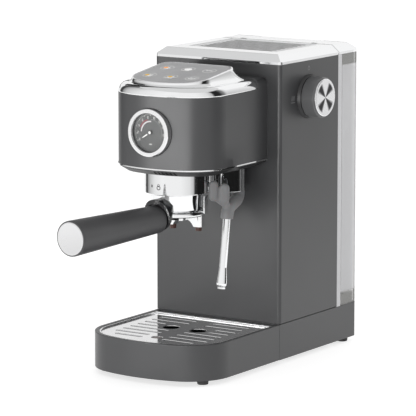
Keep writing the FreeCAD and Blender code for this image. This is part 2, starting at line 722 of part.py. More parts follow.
def handle_cap():
    disc = rod(16.1, (HANDLE_LENGTH - 2.5, 0, 0), (HANDLE_LENGTH + 0.3, 0, 0))
    disc = soft_edges(disc, 0.6, lambda edge: edge.Closed and edge.CenterOfMass.x > HANDLE_LENGTH)
    dish_r = 160.0
    depth = 0.7
    hollow = Part.makeSphere(dish_r, V(HANDLE_LENGTH + 0.3 - depth + dish_r, 0, 0))
    return facing_handle(disc.cut(hollow))


def handle_saddle():
    """Black flange between cup and handle, curved round the cup."""
    hug = sector(GRIP_START + 4, 26.3, 240 - HANDLE_TURN, 60, (130, 190))
    round_face = facing_handle(rod(16.2, (20, 0, 3.5), (40, 0, 3.5)))
    under_collar = block((-60, 60), (-140, 0), (100, COLLAR_LOW - 1.2))
    over_dish = ring(GRIP_START + 0.2, 20, GROUP, (CUP_LOW - 30, CUP_LOW + 0.3))
    grip_end = facing_handle(rod(15.2, (GRIP_START - 0.1, 0, 0), (50, 0, 0)))
    return hug.common(round_face).common(under_collar).cut([over_dish, grip_end])


def handle_bolt():
    return facing_handle(rod(3.0, (26, 0, 0), (66, 0, 0)))


# ---------------------------------------------------------------- steam wand
def steam_housing():
    centre = (STEAM_X, STEAM_Y)
    can = post(STEAM_R, centre, (HOUSING_LOW, HEAD_LOW + 4))
    can = soft_edges(can, 0.7, lambda edge: edge.Closed and edge.CenterOfMass.z < HOUSING_LOW + 0.1)
    bore = post(16.4, centre, (HOUSING_LOW - 1, HOUSING_LOW + 5))
    feed = post(2.5, centre, (HOUSING_LOW, HEAD_LOW + 5))
    return can.cut([bore, feed])


def wand_path(radius, points):
    """Cylinder or bent rod along the wand's centre line."""
    if len(points) == 2:
        return rod(radius, points[0], points[1])
    return bent_rod(radius, points, WAND_BEND)


def wand_tube():
    """Steam tube brazed into the disc that turns in the foot of the housing."""
    tube = wand_path(4.0, WAND_POINTS)
    disc = post(16.1, (STEAM_X, STEAM_Y), (HOUSING_LOW + 0.6, HOUSING_LOW + 4.6))
    tip = V(*WAND_POINTS[-1])
    way = (tip - V(*WAND_POINTS[-2])).normalize()
    nose_r = 5.4
    flare = Part.makeCone(4.0, nose_r, 16, tip - way * (16 + nose_r), way)
    nose = Part.makeSphere(nose_r, tip - way * nose_r)
    hole = Part.makeCylinder(0.8, 8, tip - way * 6, way)
    return fused([tube, disc, flare, nose]).cut(hole)


def paddle(half_w, x, y, z):
    """Finger paddle of the grip: an upright pillow with round ends."""
    depth = (-3.0, 3.0)
    ends = [rod(half_w, (0, depth[0], end), (0, depth[1], end)) for end in (z[0] + half_w, z[1] - half_w)]
    middle = block((-half_w, half_w), depth, (z[0] + half_w, z[1] - half_w))
    pillow = soft_edges(fused([middle] + ends), 2.6, lambda edge: abs(edge.CenterOfMass.y) > depth[1] - 0.01)
    pillow.rotate(V(0, 0, 0), UP, 33)
    pillow.translate(V(x, y, 0))
    return pillow


def wand_grip():
    """Silicone grip: boot over the bend, sleeve, and two finger paddles."""
    boot = bent_rod(6.4, WAND_POINTS[:2] + [GRIP_KNEE, GRIP_END], WAND_BEND)
    boot = boot.common(block((0, 90), (-90, 0), (GRIP_END[2] - 1, HOUSING_LOW - 0.4)))
    x, y, z = GRIP_KNEE
    near_paddle = paddle(5.2, x - 0.5, y - 5.2, (z + 5, z + 26))
    left_paddle = paddle(4.7, x - 9.2, y - 11.3, (z + 8, z + 29))
    near_root = rod(3.4, (x - 0.5, y - 4.4, z + 12), (x, y - 1, z + 1))
    left_root = rod(3.2, (x - 9.0, y - 10.8, z + 13), (x, y - 1.5, z + 3))
    body = fused([boot, near_paddle, left_paddle, near_root, left_root])
    return body.cut(wand_path(4.0, WAND_POINTS))


# ---------------------------------------------------------------- steam knob
def knob_ring():
    x = (HALF_W, HALF_W + 3.2)
    outer = Part.makeCone(22.6, 21.4, x[1] - x[0], V(x[0], KNOB_Y, KNOB_Z), V(1, 0, 0))
    return outer.cut(rod(8.5, (x[0] - 1, KNOB_Y, KNOB_Z), (x[1] + 1, KNOB_Y, KNOB_Z)))


def knob_body():
    x = (HALF_W + 3.6, HALF_W + 17.4)
    body = rod(20.5, (x[0], KNOB_Y, KNOB_Z), (x[1], KNOB_Y, KNOB_Z))
    body = soft_edges(body, 0.6, lambda edge: edge.Closed and edge.CenterOfMass.x > x[1] - 0.1)
    socket = rod(3.0, (x[0] - 1, KNOB_Y, KNOB_Z), (x[1] - 3, KNOB_Y, KNOB_Z))
    face_seat = rod(19.0, (x[1] - 1, KNOB_Y, KNOB_Z), (x[1] + 1, KNOB_Y, KNOB_Z))
    tick = block((x[1] - 3, x[1] + 1), (KNOB_Y - 0.6, KNOB_Y + 0.6), (KNOB_Z + 19.6, KNOB_Z + 21))
    return body.cut([socket, face_seat, tick])


def knob_face():
    x = (HALF_W + 16.4, HALF_W + 19.6)
    face = rod(18.95, (x[0], KNOB_Y, KNOB_Z), (x[1], KNOB_Y, KNOB_Z))
    return soft_edges(face, 0.8, lambda edge: edge.Closed and edge.CenterOfMass.x > x[1] - 0.1)


def valve_spindle():
    start = (HALF_W - 22, KNOB_Y, KNOB_Z)
    return rod(3.0, start, (HALF_W + 14.4, KNOB_Y, KNOB_Z))


def steam_valve():
    x = (HALF_W - 36, HALF_W - 4)
    barrel = rod(8, (x[0], KNOB_Y, KNOB_Z), (x[1], KNOB_Y, KNOB_Z))
    body = block((x[0] + 2, x[0] + 18), (KNOB_Y - 10, KNOB_Y + 10), (KNOB_Z - 10, KNOB_Z + 10))
    bore = rod(3.05, (x[0] + 13.5, KNOB_Y, KNOB_Z), (x[1] + 1, KNOB_Y, KNOB_Z))
    stub = rod(4, (x[0] + 9, KNOB_Y - 18, KNOB_Z), (x[0] + 9, KNOB_Y, KNOB_Z))
    return fused([barrel, body, stub]).cut(bore)


# ---------------------------------------------------------------- drip tray
def tray_shell():
    wall = 2.5
    low = FOOT_H + 0.3
    outer = dee(TRAY_D, 0, (low, BASE_TOP), True)
    inner = dee(TRAY_D, wall, (low - 1, BASE_TOP - 6), True)
    mouth = dee(TRAY_D, 4.4, (BASE_TOP - 7, BASE_TOP + 1), True)
    shell = outer.cut([inner, mouth])
    top_edges = [edge for edge in shell.Edges
                 if edge.CenterOfMass.z > BASE_TOP - 0.01 and edge.CenterOfMass.y < -1]
    return shell.makeFillet(0.7, top_edges)


def tray_basin():
    ledge_high = BASE_TOP - 3.8
    low = FOOT_H + 4.4
    outer = dee(TRAY_D, 4.6, (low, ledge_high))
    hollow = dee(TRAY_D, 6.6, (low + 2, ledge_high - 3))
    mouth = dee(TRAY_D, 9.0, (ledge_high - 4, ledge_high + 1))
    stem_guide = ring(3.2, 1.75, FLOAT_PLACE, (low + 2, low + 10))
    return fused([outer.cut([hollow, mouth]), stem_guide])


def tray_rim():
    band = (BASE_TOP - 3.8, BASE_TOP - 0.5)
    outer = dee(TRAY_D, 4.6, band)
    inner = dee(TRAY_D, 6.2, band)
    rear_bar = block((-68.8, 68.8), (-9.4, -5.0), (BASE_TOP - 1.8, BASE_TOP - 0.5))
    mouth = block((-68.8, 68.8), (-13.0, -9.4), (BASE_TOP - 4, BASE_TOP))
    return fused([outer.cut(inner), rear_bar]).cut(mouth)


def grate_slots():
    places = []
    for row in range(8):
        y = -24.0 - 12.9 * row
        for side in (-1, 1):
            near = 9.5
            far = 54.0
            if row in (2, 3):
                near = 30.0
            if row == 7:
                far = 46.0
            if row in (6, 7) and side < 0:
                near = 14.0
            places.append((side * (near + far) / 2, y, far - near))
    return places


def grate():
    top = BASE_TOP - 1.9
    plate = dee(TRAY_D, 6.6, (top - 1.4, top))
    plate = plate.cut(block((-80, 80), (-9.8, 5), (top - 3, top + 2)))
    cutters = [slot(length, 3.6, (x, y), (top - 3, top + 2)) for x, y, length in grate_slots()]
    fingers = [post(FINGER_R, (side * FINGER_X, FINGER_Y), (top - 3, top + 2)) for side in (-1, 1)]
    float_hole = post(5.2, FLOAT_PLACE, (top - 3, top + 2))
    outline = [edge for edge in plate.Edges if edge.CenterOfMass.z > top - 0.01]
    rim = Part.makeCompound(outline)
    pierced = plate.cut(cutters + fingers + [float_hole])
    return soft_edges(pierced, 0.7, lambda edge: edge.CenterOfMass.z > top - 0.01
                      and edge.distToShape(rim)[0] > 0.5)


def tray_float():
    """Water-level float: a hollow puck in the basin with a button that shows in the grate."""
    low = FOOT_H + 4.4
    button_top = BASE_TOP - 2.1
    puck = post(9.0, FLOAT_PLACE, (low + 11, low + 17))
    stem = post(1.7, FLOAT_PLACE, (low + 2.4, low + 11))
    neck = post(2.0, FLOAT_PLACE, (low + 17, button_top - 1.5))
    button = post(4.6, FLOAT_PLACE, (button_top - 1.5, button_top))
    return fused([puck, stem, neck, button])


# ---------------------------------------------------------------- water tank
def tank_outline(inset, z):
    """T-shaped plan: the front of the tank is narrower, to pass between the rails."""
    front = TOWER_D + 0.4 + inset
    wide_front = TOWER_D + 7.9
    narrow_half = HALF_W - 4.4 - inset
    wide = block((inset - HALF_W, HALF_W - inset), (wide_front + inset, BACK - 0.2 - inset), z)
    wide = soft_edges(wide, CORNER_R - inset,
                      lambda edge: is_upright(edge) and edge.CenterOfMass.y > BACK - 5)
    narrow = block((-narrow_half, narrow_half), (front, wide_front + 6), z)
    return fused([wide, narrow])


def tank_body():
    low = BASE_TOP + 0.3
    wall = 2.2
    outer = tank_outline(0, (low, TANK_HIGH))
    hollow = tank_outline(wall, (TANK_FLOOR, TANK_HIGH + 1))
    under = tank_outline(wall, (low - 1, TANK_FLOOR - wall))
    body = outer.cut([hollow, under])
    port = post(9.0, TANK_PORT, (TANK_FLOOR - wall - 1, TANK_FLOOR + 1))
    ears = []
    for side in (-1, 1):
        x = sorted((side * 40, side * 46))
        ear = block(x, (LID_Y - 1.5, LID_Y + 1.5), (TANK_HIGH - 8, LID_Z))
        root = block(x, (TOWER_D + 0.4, LID_Y + 1.5), (TANK_HIGH - 8, TANK_HIGH))
        round_top = rod(1.5, (x[0], LID_Y, LID_Z), (x[1], LID_Y, LID_Z))
        ears.append(fused([ear, root, round_top]))
    bores = rod(1.06, (-60, LID_Y, LID_Z), (60, LID_Y, LID_Z))
    return fused([body] + ears).cut([port, bores])


def tank_valve():
    """Outlet valve of the tank: flanged bush with a closed spring seat."""
    low = TANK_FLOOR - 2.2
    flange = ring(11.5, 3.0, TANK_PORT, (TANK_FLOOR, TANK_FLOOR + 2))
    neck = ring(8.9, 3.0, TANK_PORT, (low - 2.5, TANK_FLOOR))
    cage = ring(6.0, 3.0, TANK_PORT, (TANK_FLOOR + 2, TANK_FLOOR + 8))
    return fused([flange, neck, cage])


def tank_socket():
    collar = ring(SOCKET_R - 0.1, 4.0, TANK_PORT, (BASE_TOP - 6, BASE_TOP))
    rim = ring(12.5, 4.0, TANK_PORT, (BASE_TOP, BASE_TOP + 2.2))
    return fused([collar, rim])


def tank_lid():
    """Bevelled lid with a finger recess behind and a moulded pin at each hinge notch."""
    front = TOWER_D + 0.9
    plan = plan_block(front, 0, BACK, CORNER_R, (FRAME_LOW, TOP))
    body = frame_profile(front, BACK, 0, FRAME_INSET).common(plan)
    body = soft_edges(body, 0.8, is_top_rim)
    nose = soft_edges(body, 1.7, lambda edge: abs(edge.CenterOfMass.y - front) < 0.05
                      and abs(edge.CenterOfMass.z - TOP) < 0.05)
    hollow = block((-64, 64), (front + 6, BACK - 11), (FRAME_LOW - 1, TOP - 3.5))
    notches = []
    for side in (-1, 1):
        x = sorted((side * 39.4, side * 46.6))
        notches.append(block(x, (front - 1, LID_Y + 4.5), (FRAME_LOW - 1, TOP + 1)))
    pins = [
        rod(1.0, (side * 38, LID_Y, LID_Z), (side * 48, LID_Y, LID_Z)) for side in (-1, 1)
    ]
    thumb = Part.makeSphere(160, V(0, BACK + 1.5, TOP - 5 + 160))
    grip_zone = block((-52, 52), (BACK - FRAME_INSET - 1.5, BACK + 1), (FRAME_LOW, TOP + 1))
    recess = thumb.common(grip_zone)
    return fused([nose.cut([hollow, recess] + notches)] + pins)


# ---------------------------------------------------------------- inside the tower
def pump():
    coil = block((-57, -17), (36, 80), (110, 150))
    barrel = post(11, PUMP, (84, 182))
    inlet = post(4, PUMP, (72, 84))
    outlet = post(4, PUMP, (182, 194))
    return fused([coil, barrel, inlet, outlet])


def pump_mounts():
    """Rubber blocks that hold the pump's barrel and stick to the casing's left wall."""
    wall = SHEET - HALF_W
    blocks = []
    for z in ((90, 98), (164, 172)):
        pad = block((wall, PUMP[0] + 15), (PUMP[1] - 15, PUMP[1] + 15), z)
        blocks.append(pad.cut(post(11.0, PUMP, (z[0] - 1, z[1] + 1))))
    return group(blocks)


def solenoid_valve():
    body = block((0, 26), (22, 48), (206, 232))
    coil = post(14, (13, 35), (232, 262))
    return fused([body, coil])


def power_board():
    board = block((60, 61.6), (24, 96), (60, 170))
    relay = block((46, 60), (34, 52), (70, 96))
    heatsink = block((48, 60), (62, 88), (120, 150))
    return fused([board, relay, heatsink])


def water_hose():
    x, y = TANK_PORT
    way = [(x, y, BASE_TOP - 6), (x, y, 18), (PUMP[0], y, 18), (PUMP[0], PUMP[1], 18),
           (PUMP[0], PUMP[1], 72)]
    return bent_rod(3.8, way, 10)


def pressure_hose():
    way = [(PUMP[0], PUMP[1], 194), (PUMP[0], PUMP[1], 220), (PUMP[0], 12, 220),
           (-22, 12, 238), (0, 4, 238), (0, GROUP_Y + 38, 238)]
    return bent_rod(2.6, way, 6)


def steam_pipe():
    x = HALF_W - 27
    way = [(x, KNOB_Y - 18, KNOB_Z), (x, 10, KNOB_Z), (40, -4, KNOB_Z - 4),
           (STEAM_X, STEAM_Y, KNOB_Z - 6), (STEAM_X, STEAM_Y, HEAD_LOW + 4)]
    return bent_rod(2.2, way, 6)


def cord_gland():
    """Empty bush in the rear of the base for a mains lead."""
    outside = rod(GLAND_R + 3, (GLAND_X, BACK, GLAND_Z), (GLAND_X, BACK + 2.5, GLAND_Z))
    barrel = rod(GLAND_R - 0.05, (GLAND_X, BACK - 9, GLAND_Z), (GLAND_X, BACK, GLAND_Z))
    bore = rod(3.7, (GLAND_X, BACK - 10, GLAND_Z), (GLAND_X, BACK + 4, GLAND_Z))
    return fused([outside, barrel]).cut(bore)


PARTS = [
    base_chassis, bottom_plate, feet, casing_screws, tower_casing, rear_bulkhead, top_frame,
    warming_plate, head_shell, head_top_cover, control_pod, control_panel, control_board,
    head_trim, head_bottom_plate, group_collar, brew_head, shower_screen, group_gasket,
    thermostats, gauge_case, gauge_bezel, gauge_dial, gauge_lens, gauge_needle,
    portafilter_cup, filter_basket, basket_spring, retainer_dish, spout_body, spout_tips,
    handle_grip, handle_cap, handle_saddle, handle_bolt, steam_housing, wand_tube, wand_grip,
    knob_ring, knob_body, knob_face, valve_spindle, steam_valve, tray_shell, tray_basin,
    tray_rim, grate, tray_float, tank_body, tank_valve, tank_socket, tank_lid, pump,
    pump_mounts, solenoid_valve, power_board, water_hose, pressure_hose, steam_pipe, cord_gland,
]

os.makedirs("parts", exist_ok=True)
for make in PARTS:
    make().exportStep("parts/" + make.__name__ + ".step")
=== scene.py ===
import json
import math

import bmesh
import bpy
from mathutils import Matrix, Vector

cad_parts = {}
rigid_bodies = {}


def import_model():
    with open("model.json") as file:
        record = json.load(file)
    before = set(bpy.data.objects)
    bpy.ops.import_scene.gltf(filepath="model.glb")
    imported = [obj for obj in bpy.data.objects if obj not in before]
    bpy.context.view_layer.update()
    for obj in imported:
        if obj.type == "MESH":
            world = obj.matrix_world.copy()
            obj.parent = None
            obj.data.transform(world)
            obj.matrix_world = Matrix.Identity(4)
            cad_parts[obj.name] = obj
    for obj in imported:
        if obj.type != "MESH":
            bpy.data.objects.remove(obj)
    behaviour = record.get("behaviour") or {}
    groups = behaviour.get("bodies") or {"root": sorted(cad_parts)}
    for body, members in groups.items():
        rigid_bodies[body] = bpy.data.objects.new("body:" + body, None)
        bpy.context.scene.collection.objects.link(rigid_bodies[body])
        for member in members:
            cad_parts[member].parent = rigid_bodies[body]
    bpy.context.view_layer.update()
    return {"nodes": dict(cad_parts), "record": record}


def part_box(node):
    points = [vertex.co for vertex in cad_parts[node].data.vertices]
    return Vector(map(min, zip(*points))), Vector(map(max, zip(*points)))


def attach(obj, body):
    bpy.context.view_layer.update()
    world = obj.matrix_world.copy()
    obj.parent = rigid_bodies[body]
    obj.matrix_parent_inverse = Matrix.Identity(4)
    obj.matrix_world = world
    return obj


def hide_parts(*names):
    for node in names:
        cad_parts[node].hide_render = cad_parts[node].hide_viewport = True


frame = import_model()

MM = 0.001
SUBPARTS = {part["node"]: part["material_slot"] for part in frame["record"]["subparts"]}


# ---------------------------------------------------------------- material building
class Finish:
    """A node material under construction, with the few node groups that all finishes share."""

    def __init__(self, name, colour, roughness, metallic=0.0):
        self.material = bpy.data.materials.new(name)
        self.material.use_nodes = True
        self.tree = self.material.node_tree
        self.shader = self.tree.nodes["Principled BSDF"]
        self.output = self.tree.nodes["Material Output"]
        self.place = self.add("ShaderNodeTexCoord").outputs["Object"]
        self.set("Base Color", (*colour, 1.0))
        self.set("Roughness", roughness)
        self.set("Metallic", metallic)

    def set(self, socket, value):
        self.shader.inputs[socket].default_value = value
        return self

    def add(self, kind, **settings):
        node = self.tree.nodes.new(kind)
        for key, value in settings.items():
            setattr(node, key, value)
        return node

    def link(self, out, socket):
        self.tree.links.new(out, socket)

    def noise(self, size, detail=2.0, stretch=(1.0, 1.0, 1.0), spread=0.5):
        """Noise whose grain is about size metres, drawn out along an axis by stretch."""
        mapping = self.add("ShaderNodeMapping")
        mapping.inputs["Scale"].default_value = [1.0 / s for s in stretch]
        self.link(self.place, mapping.inputs["Vector"])
        texture = self.add("ShaderNodeTexNoise")
        texture.inputs["Scale"].default_value = 1.0 / size
        texture.inputs["Detail"].default_value = detail
        texture.inputs["Roughness"].default_value = spread
        self.link(mapping.outputs["Vector"], texture.inputs["Vector"])
        return texture.outputs["Fac"]

    def ramp(self, value, low, high, start=0.0, end=1.0):
        """Carry a value's span from start to end over to low to high."""
        node = self.add("ShaderNodeMapRange")
        for socket, number in (("From Min", start), ("From Max", end), ("To Min", low), ("To Max", high)):
            node.inputs[socket].default_value = number
        self.link(value, node.inputs["Value"])
        return node.outputs["Result"]

    def maths(self, operation, a, b):
        node = self.add("ShaderNodeMath", operation=operation)
        for socket, value in zip(node.inputs, (a, b)):
            if isinstance(value, (int, float)):
                socket.default_value = value
            else:
                self.link(value, socket)
        return node.outputs["Value"]

    def blend(self, factor, colour_a, colour_b):
        node = self.add("ShaderNodeMix", data_type="RGBA")
        self.link(factor, node.inputs["Factor"])
        for socket, colour in (("A", colour_a), ("B", colour_b)):
            target = [s for s in node.inputs if s.name == socket and s.type == "RGBA"][0]
            if isinstance(colour, tuple):
                target.default_value = (*colour, 1.0)
            else:
                self.link(colour, target)
        return [s for s in node.outputs if s.type == "RGBA"][0]

    def edges(self, width):
        """Near 1 along convex and concave edges, over about width metres."""
        rounded = self.add("ShaderNodeBevel", samples=6)
        rounded.inputs["Radius"].default_value = width
        flat = self.add("ShaderNodeNewGeometry")
        dot = self.add("ShaderNodeVectorMath", operation="DOT_PRODUCT")
        self.link(rounded.outputs["Normal"], dot.inputs[0])
        self.link(flat.outputs["Normal"], dot.inputs[1])
        return self.ramp(dot.outputs["Value"], 1.0, 0.0, 0.80, 0.99)

    def roughness(self, value, low, high, start=0.3, end=0.7):
        self.link(self.ramp(value, low, high, start, end), self.shader.inputs["Roughness"])
        return self

    def colour(self, out):
        self.link(out, self.shader.inputs["Base Color"])
        return self

    def bump(self, layers, edge_radius=0.0):
        """Stack bumps (height value, depth in metres), on rounded edges where a radius is given."""
        normal = None
        if edge_radius:
            rounded = self.add("ShaderNodeBevel", samples=6)
            rounded.inputs["Radius"].default_value = edge_radius
            normal = rounded.outputs["Normal"]
        for height, depth in layers:
            node = self.add("ShaderNodeBump")
            node.inputs["Distance"].default_value = depth
            node.inputs["Strength"].default_value = 1.0
            self.link(height, node.inputs["Height"])
            if normal is not None:
                self.link(normal, node.inputs["Normal"])
            normal = node.outputs["Normal"]
        self.link(normal, self.shader.inputs["Normal"])
        return self


def powder_coat(name, colour, roughness=0.42):
    """Satin powder coat: orange peel, cloudy gloss, and edges painted a little lighter, partly rubbed wear
    and partly a painted highlight.
    """
    finish = Finish(name, colour, roughness)
    cloud = finish.noise(0.045, 3.0)
    peel = finish.noise(0.0011, 1.0)
    grit = finish.noise(0.0004, 2.0, spread=0.7)
    tint = finish.blend(finish.ramp(cloud, 0.0, 1.0, 0.3, 0.7), tuple(c * 0.965 for c in colour),
                        tuple(c * 1.035 for c in colour))
    # Edges painted lighter: partly rubbed wear, partly a painted highlight.
    edge_wear_and_painted_highlight = finish.maths("MULTIPLY", finish.edges(0.0007), 0.35)
    finish.colour(finish.blend(edge_wear_and_painted_highlight, tint, tuple(c * 1.5 for c in colour)))
    gloss = finish.maths("ADD", finish.ramp(cloud, -0.04, 0.04, 0.3, 0.7), finish.ramp(grit, -0.03, 0.03))
    finish.link(finish.maths("ADD", gloss, roughness), finish.shader.inputs["Roughness"])
    finish.bump([(peel, 0.000006), (grit, 0.000003)], 0.0005)
    return finish


def plating(name, colour, low, high, edge_radius=0.0003):
    """Polished plating: faint haze, hairline scratches and soft edges."""
    finish = Finish(name, colour, low, 1.0)
    haze = finish.noise(0.018, 4.0)
    hairs = finish.noise(0.0006, 3.0, (1.0, 1.0, 14.0), 0.7)
    finish.roughness(finish.maths("ADD", finish.maths("MULTIPLY", haze, 0.7),
                                  finish.maths("MULTIPLY", hairs, 0.3)), low, high)
    finish.bump([(hairs, 0.0000006)], edge_radius)
    return finish


def brushed(name, colour, low, high, stretch, depth=0.000002):
    """Metal with a fine grain, drawn out along the axis that stretch names."""
    finish = Finish(name, colour, low, 1.0)
    grain = finish.noise(0.00035, 3.0, stretch, 0.6)
    haze = finish.noise(0.03, 3.0)
    finish.roughness(finish.maths("ADD", finish.maths("MULTIPLY", grain, 0.5),
                                  finish.maths("MULTIPLY", haze, 0.5)), low, high)
    finish.bump([(grain, depth)], 0.0003)
    return finish


def moulded(name, colour, roughness, grain_size=0.0007, depth=0.00001, specular=0.5):
    """Moulded plastic or rubber with a fine spark-eroded grain."""
    finish = Finish(name, colour, roughness)
    finish.set("Specular IOR Level", specular)
    grain = finish.noise(grain_size, 2.0, spread=0.6)
    flow = finish.noise(0.03, 2.0)
    finish.colour(finish.blend(finish.ramp(flow, 0.0, 1.0, 0.3, 0.7), tuple(c * 0.93 for c in colour),
                               tuple(c * 1.07 for c in colour)))
    finish.roughness(finish.maths("ADD", finish.maths("MULTIPLY", grain, 0.5),
                                  finish.maths("MULTIPLY", flow, 0.5)),
                     roughness - 0.07, roughness + 0.07)
    finish.bump([(grain, depth)], 0.0004)
    return finish


def silicone(name, colour, roughness=0.5):
    """Soft moulding with a faint bloom."""
    finish = moulded(name, colour, roughness, 0.0009, 0.000006, 0.4)
    finish.set("Sheen Weight", 0.25).set("Sheen Roughness", 0.4)
    finish.set("Subsurface Weight", 0.08).set("Subsurface Scale", 0.002)
    return finish


def clear_sheet(name, tint, solid, roughness, haze, gloss=1.0):
    """See-through sheet: a share of its own colour over what lies behind, under a glossy skin."""
    finish = Finish(name, tint, roughness)
    cloud = finish.noise(0.03, 3.0)
    finish.roughness(cloud, roughness - 0.04, roughness + 0.05)
    ripple = finish.noise(0.02, 1.0)
    finish.bump([(ripple, haze)])
    clear = finish.add("ShaderNodeBsdfTransparent")
    mixer = finish.add("ShaderNodeMixShader")
    edge_on = finish.add("ShaderNodeFresnel")
    edge_on.inputs["IOR"].default_value = 1.45
    skin = finish.maths("MULTIPLY", edge_on.outputs["Fac"], gloss)
    share = finish.maths("ADD", finish.ramp(cloud, solid - 0.02, solid + 0.02), skin)
    share = finish.maths("MINIMUM", share, 1.0)
    finish.link(share, mixer.inputs["Fac"])
    finish.link(clear.outputs["BSDF"], mixer.inputs[1])
    finish.link(finish.shader.outputs["BSDF"], mixer.inputs[2])
    finish.link(mixer.outputs["Shader"], finish.output.inputs["Surface"])
    return finish


def glow(name, colour, strength):
    """Print that glows, slightly uneven: lit from behind on the keys, a painted glow standing in for light
    on the dial.
    """
    finish = Finish(name, colour, 0.5)
    spread = finish.noise(0.002, 1.0)
    finish.set("Emission Color", (*colour, 1.0))
    finish.link(finish.ramp(spread, strength * 0.85, strength * 1.15, 0.3, 0.7),
                finish.shader.inputs["Emission Strength"])
    finish.bump([(spread, 0.000002)])
    return finish


def split(finish, vector, axis):
    """One component of a vector output."""
    node = finish.add("ShaderNodeSeparateXYZ")
    finish.link(vector, node.inputs[0])
    return node.outputs[axis]


def about_axis(finish, node, across):
    """A point's offset from the middle of a node, and its distance from the axis that across leaves out."""
    low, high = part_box(node)
    offset = finish.add("ShaderNodeVectorMath", operation="SUBTRACT")
    offset.inputs[1].default_value = (low + high) / 2
    finish.link(finish.place, offset.inputs[0])
    flat = finish.add("ShaderNodeVectorMath", operation="MULTIPLY")
    flat.inputs[1].default_value = across
    finish.link(offset.outputs[0], flat.inputs[0])
    radius = finish.add("ShaderNodeVectorMath", operation="LENGTH")
    finish.link(flat.outputs[0], radius.inputs[0])
    return offset.outputs[0], radius.outputs["Value"]


def turned_face():
    """Knob face with turning marks and four dark sectors painted into its colour as painted reflection,
    like the reflections on a sun-ray brushed lid.
    """
    metal, painted_reflection_dark = (0.86, 0.86, 0.87), (0.035, 0.035, 0.037)
    finish = Finish("knob_turned_metal", metal, 0.2, 1.0)
    offset, radius = about_axis(finish, "knob_face", (0.0, 1.0, 1.0))
    rings = finish.add("ShaderNodeTexNoise", noise_dimensions="1D")
    rings.inputs["Scale"].default_value = 4200.0
    finish.link(radius, rings.inputs["W"])
    finish.roughness(rings.outputs["Fac"], 0.14, 0.26)
    finish.bump([(rings.outputs["Fac"], 0.000003)], 0.0005)
    # Four dark sectors at the diagonals, inside the rim: painted reflection of the turned metal.
    angle = finish.maths("ARCTAN2", split(finish, offset, "Z"), split(finish, offset, "Y"))
    wave = finish.maths("ABSOLUTE", finish.maths("SINE", finish.maths("MULTIPLY", angle, 2.0), 0.0), 0.0)
    sector = finish.ramp(wave, 0.0, 1.0, 0.62, 0.92)
    inside = finish.ramp(radius, 1.0, 0.0, 0.0148, 0.0165)
    finish.colour(finish.blend(finish.maths("MULTIPLY", sector, inside), metal, painted_reflection_dark))
    return finish


def railed_wall():
    """Charcoal rear wall whose outer guide rails are frosted pale grey."""
    charcoal = (0.022, 0.022, 0.023)
    finish = moulded("charcoal_wall_pale_rails", charcoal, 0.40)
    depth = finish.ramp(split(finish, finish.place, "Y"), 0.0, 1.0, 0.1113, 0.1117)
    speck = finish.noise(0.002, 2.0)
    pale = finish.blend(speck, (0.40, 0.40, 0.41), (0.47, 0.47, 0.48))
    finish.colour(finish.blend(depth, charcoal, pale))
    return finish


def banded_tank():
    """Smoky tank, denser at its top edge and at its foot."""
    smoke, band_grey = (0.72, 0.72, 0.73), (0.36, 0.36, 0.35)
    finish = clear_sheet("smoky_tank_banded", smoke, 0.34, 0.16, 0.00002)
    height = split(finish, finish.place, "Z")
    skirt = finish.ramp(height, 0.0, 1.0, 0.2915, 0.2925)
    foot = finish.ramp(height, 1.0, 0.0, 0.0545, 0.0560)
    dense = finish.maths("MAXIMUM", skirt, foot)
    finish.colour(finish.blend(dense, smoke, band_grey))
    return finish


def rolled_lid():
    """Chrome lid whose top rolls off towards its rear edge."""
    finish = plating("rolled_chrome_lid", (0.90, 0.905, 0.91), 0.03, 0.085)
    past = finish.maths("MAXIMUM", finish.maths("SUBTRACT", split(finish, finish.place, "Y"), 0.1405), 0.0)
    drop = finish.maths("MULTIPLY", finish.maths("MULTIPLY", past, past), -8.0)
    haze = finish.noise(0.0006, 3.0, (1.0, 1.0, 14.0), 0.7)
    finish.bump([(haze, 0.0000006), (drop, 1.0)], 0.0003)
    return finish


def slotted_steel():
    """Brushed warming plate whose slot walls are painted near-black as painted shade in the slots."""
    finish = brushed("brushed_warming_plate", (0.50, 0.50, 0.505), 0.26, 0.36, (30.0, 1.0, 1.0))
    flat = finish.add("ShaderNodeNewGeometry")
    top_faces_vs_painted_shade = finish.ramp(split(finish, flat.outputs["Normal"], "Z"), 0.0, 1.0, 0.4, 0.8)
    grain = finish.noise(0.0005, 2.0, (30.0, 1.0, 1.0))
    steel = finish.blend(grain, (0.64, 0.64, 0.645), (0.74, 0.74, 0.745))
    # Faces that don't face up, the slot walls, get a near-black colour: painted shade.
    finish.colour(finish.blend(top_faces_vs_painted_shade, (0.06, 0.06, 0.062), steel))
    return finish


def pointer_enamel():
    """White pointer with a small bright pin in the middle of its dark hub."""
    white, hub = (0.70, 0.70, 0.69), (0.05, 0.05, 0.05)
    finish = moulded("pointer_enamel", white, 0.4, 0.0004, 0.000003)
    radius = about_axis(finish, "gauge_dial", (1.0, 0.0, 1.0))[1]
    outside = finish.ramp(radius, 0.0, 1.0, 0.0012, 0.0015)
    within = finish.ramp(radius, 1.0, 0.0, 0.0036, 0.0038)
    finish.colour(finish.blend(finish.maths("MULTIPLY", outside, within), white, hub))
    return finish


# Grain that runs in no one direction
EVEN = (1.0, 1.0, 1.0)

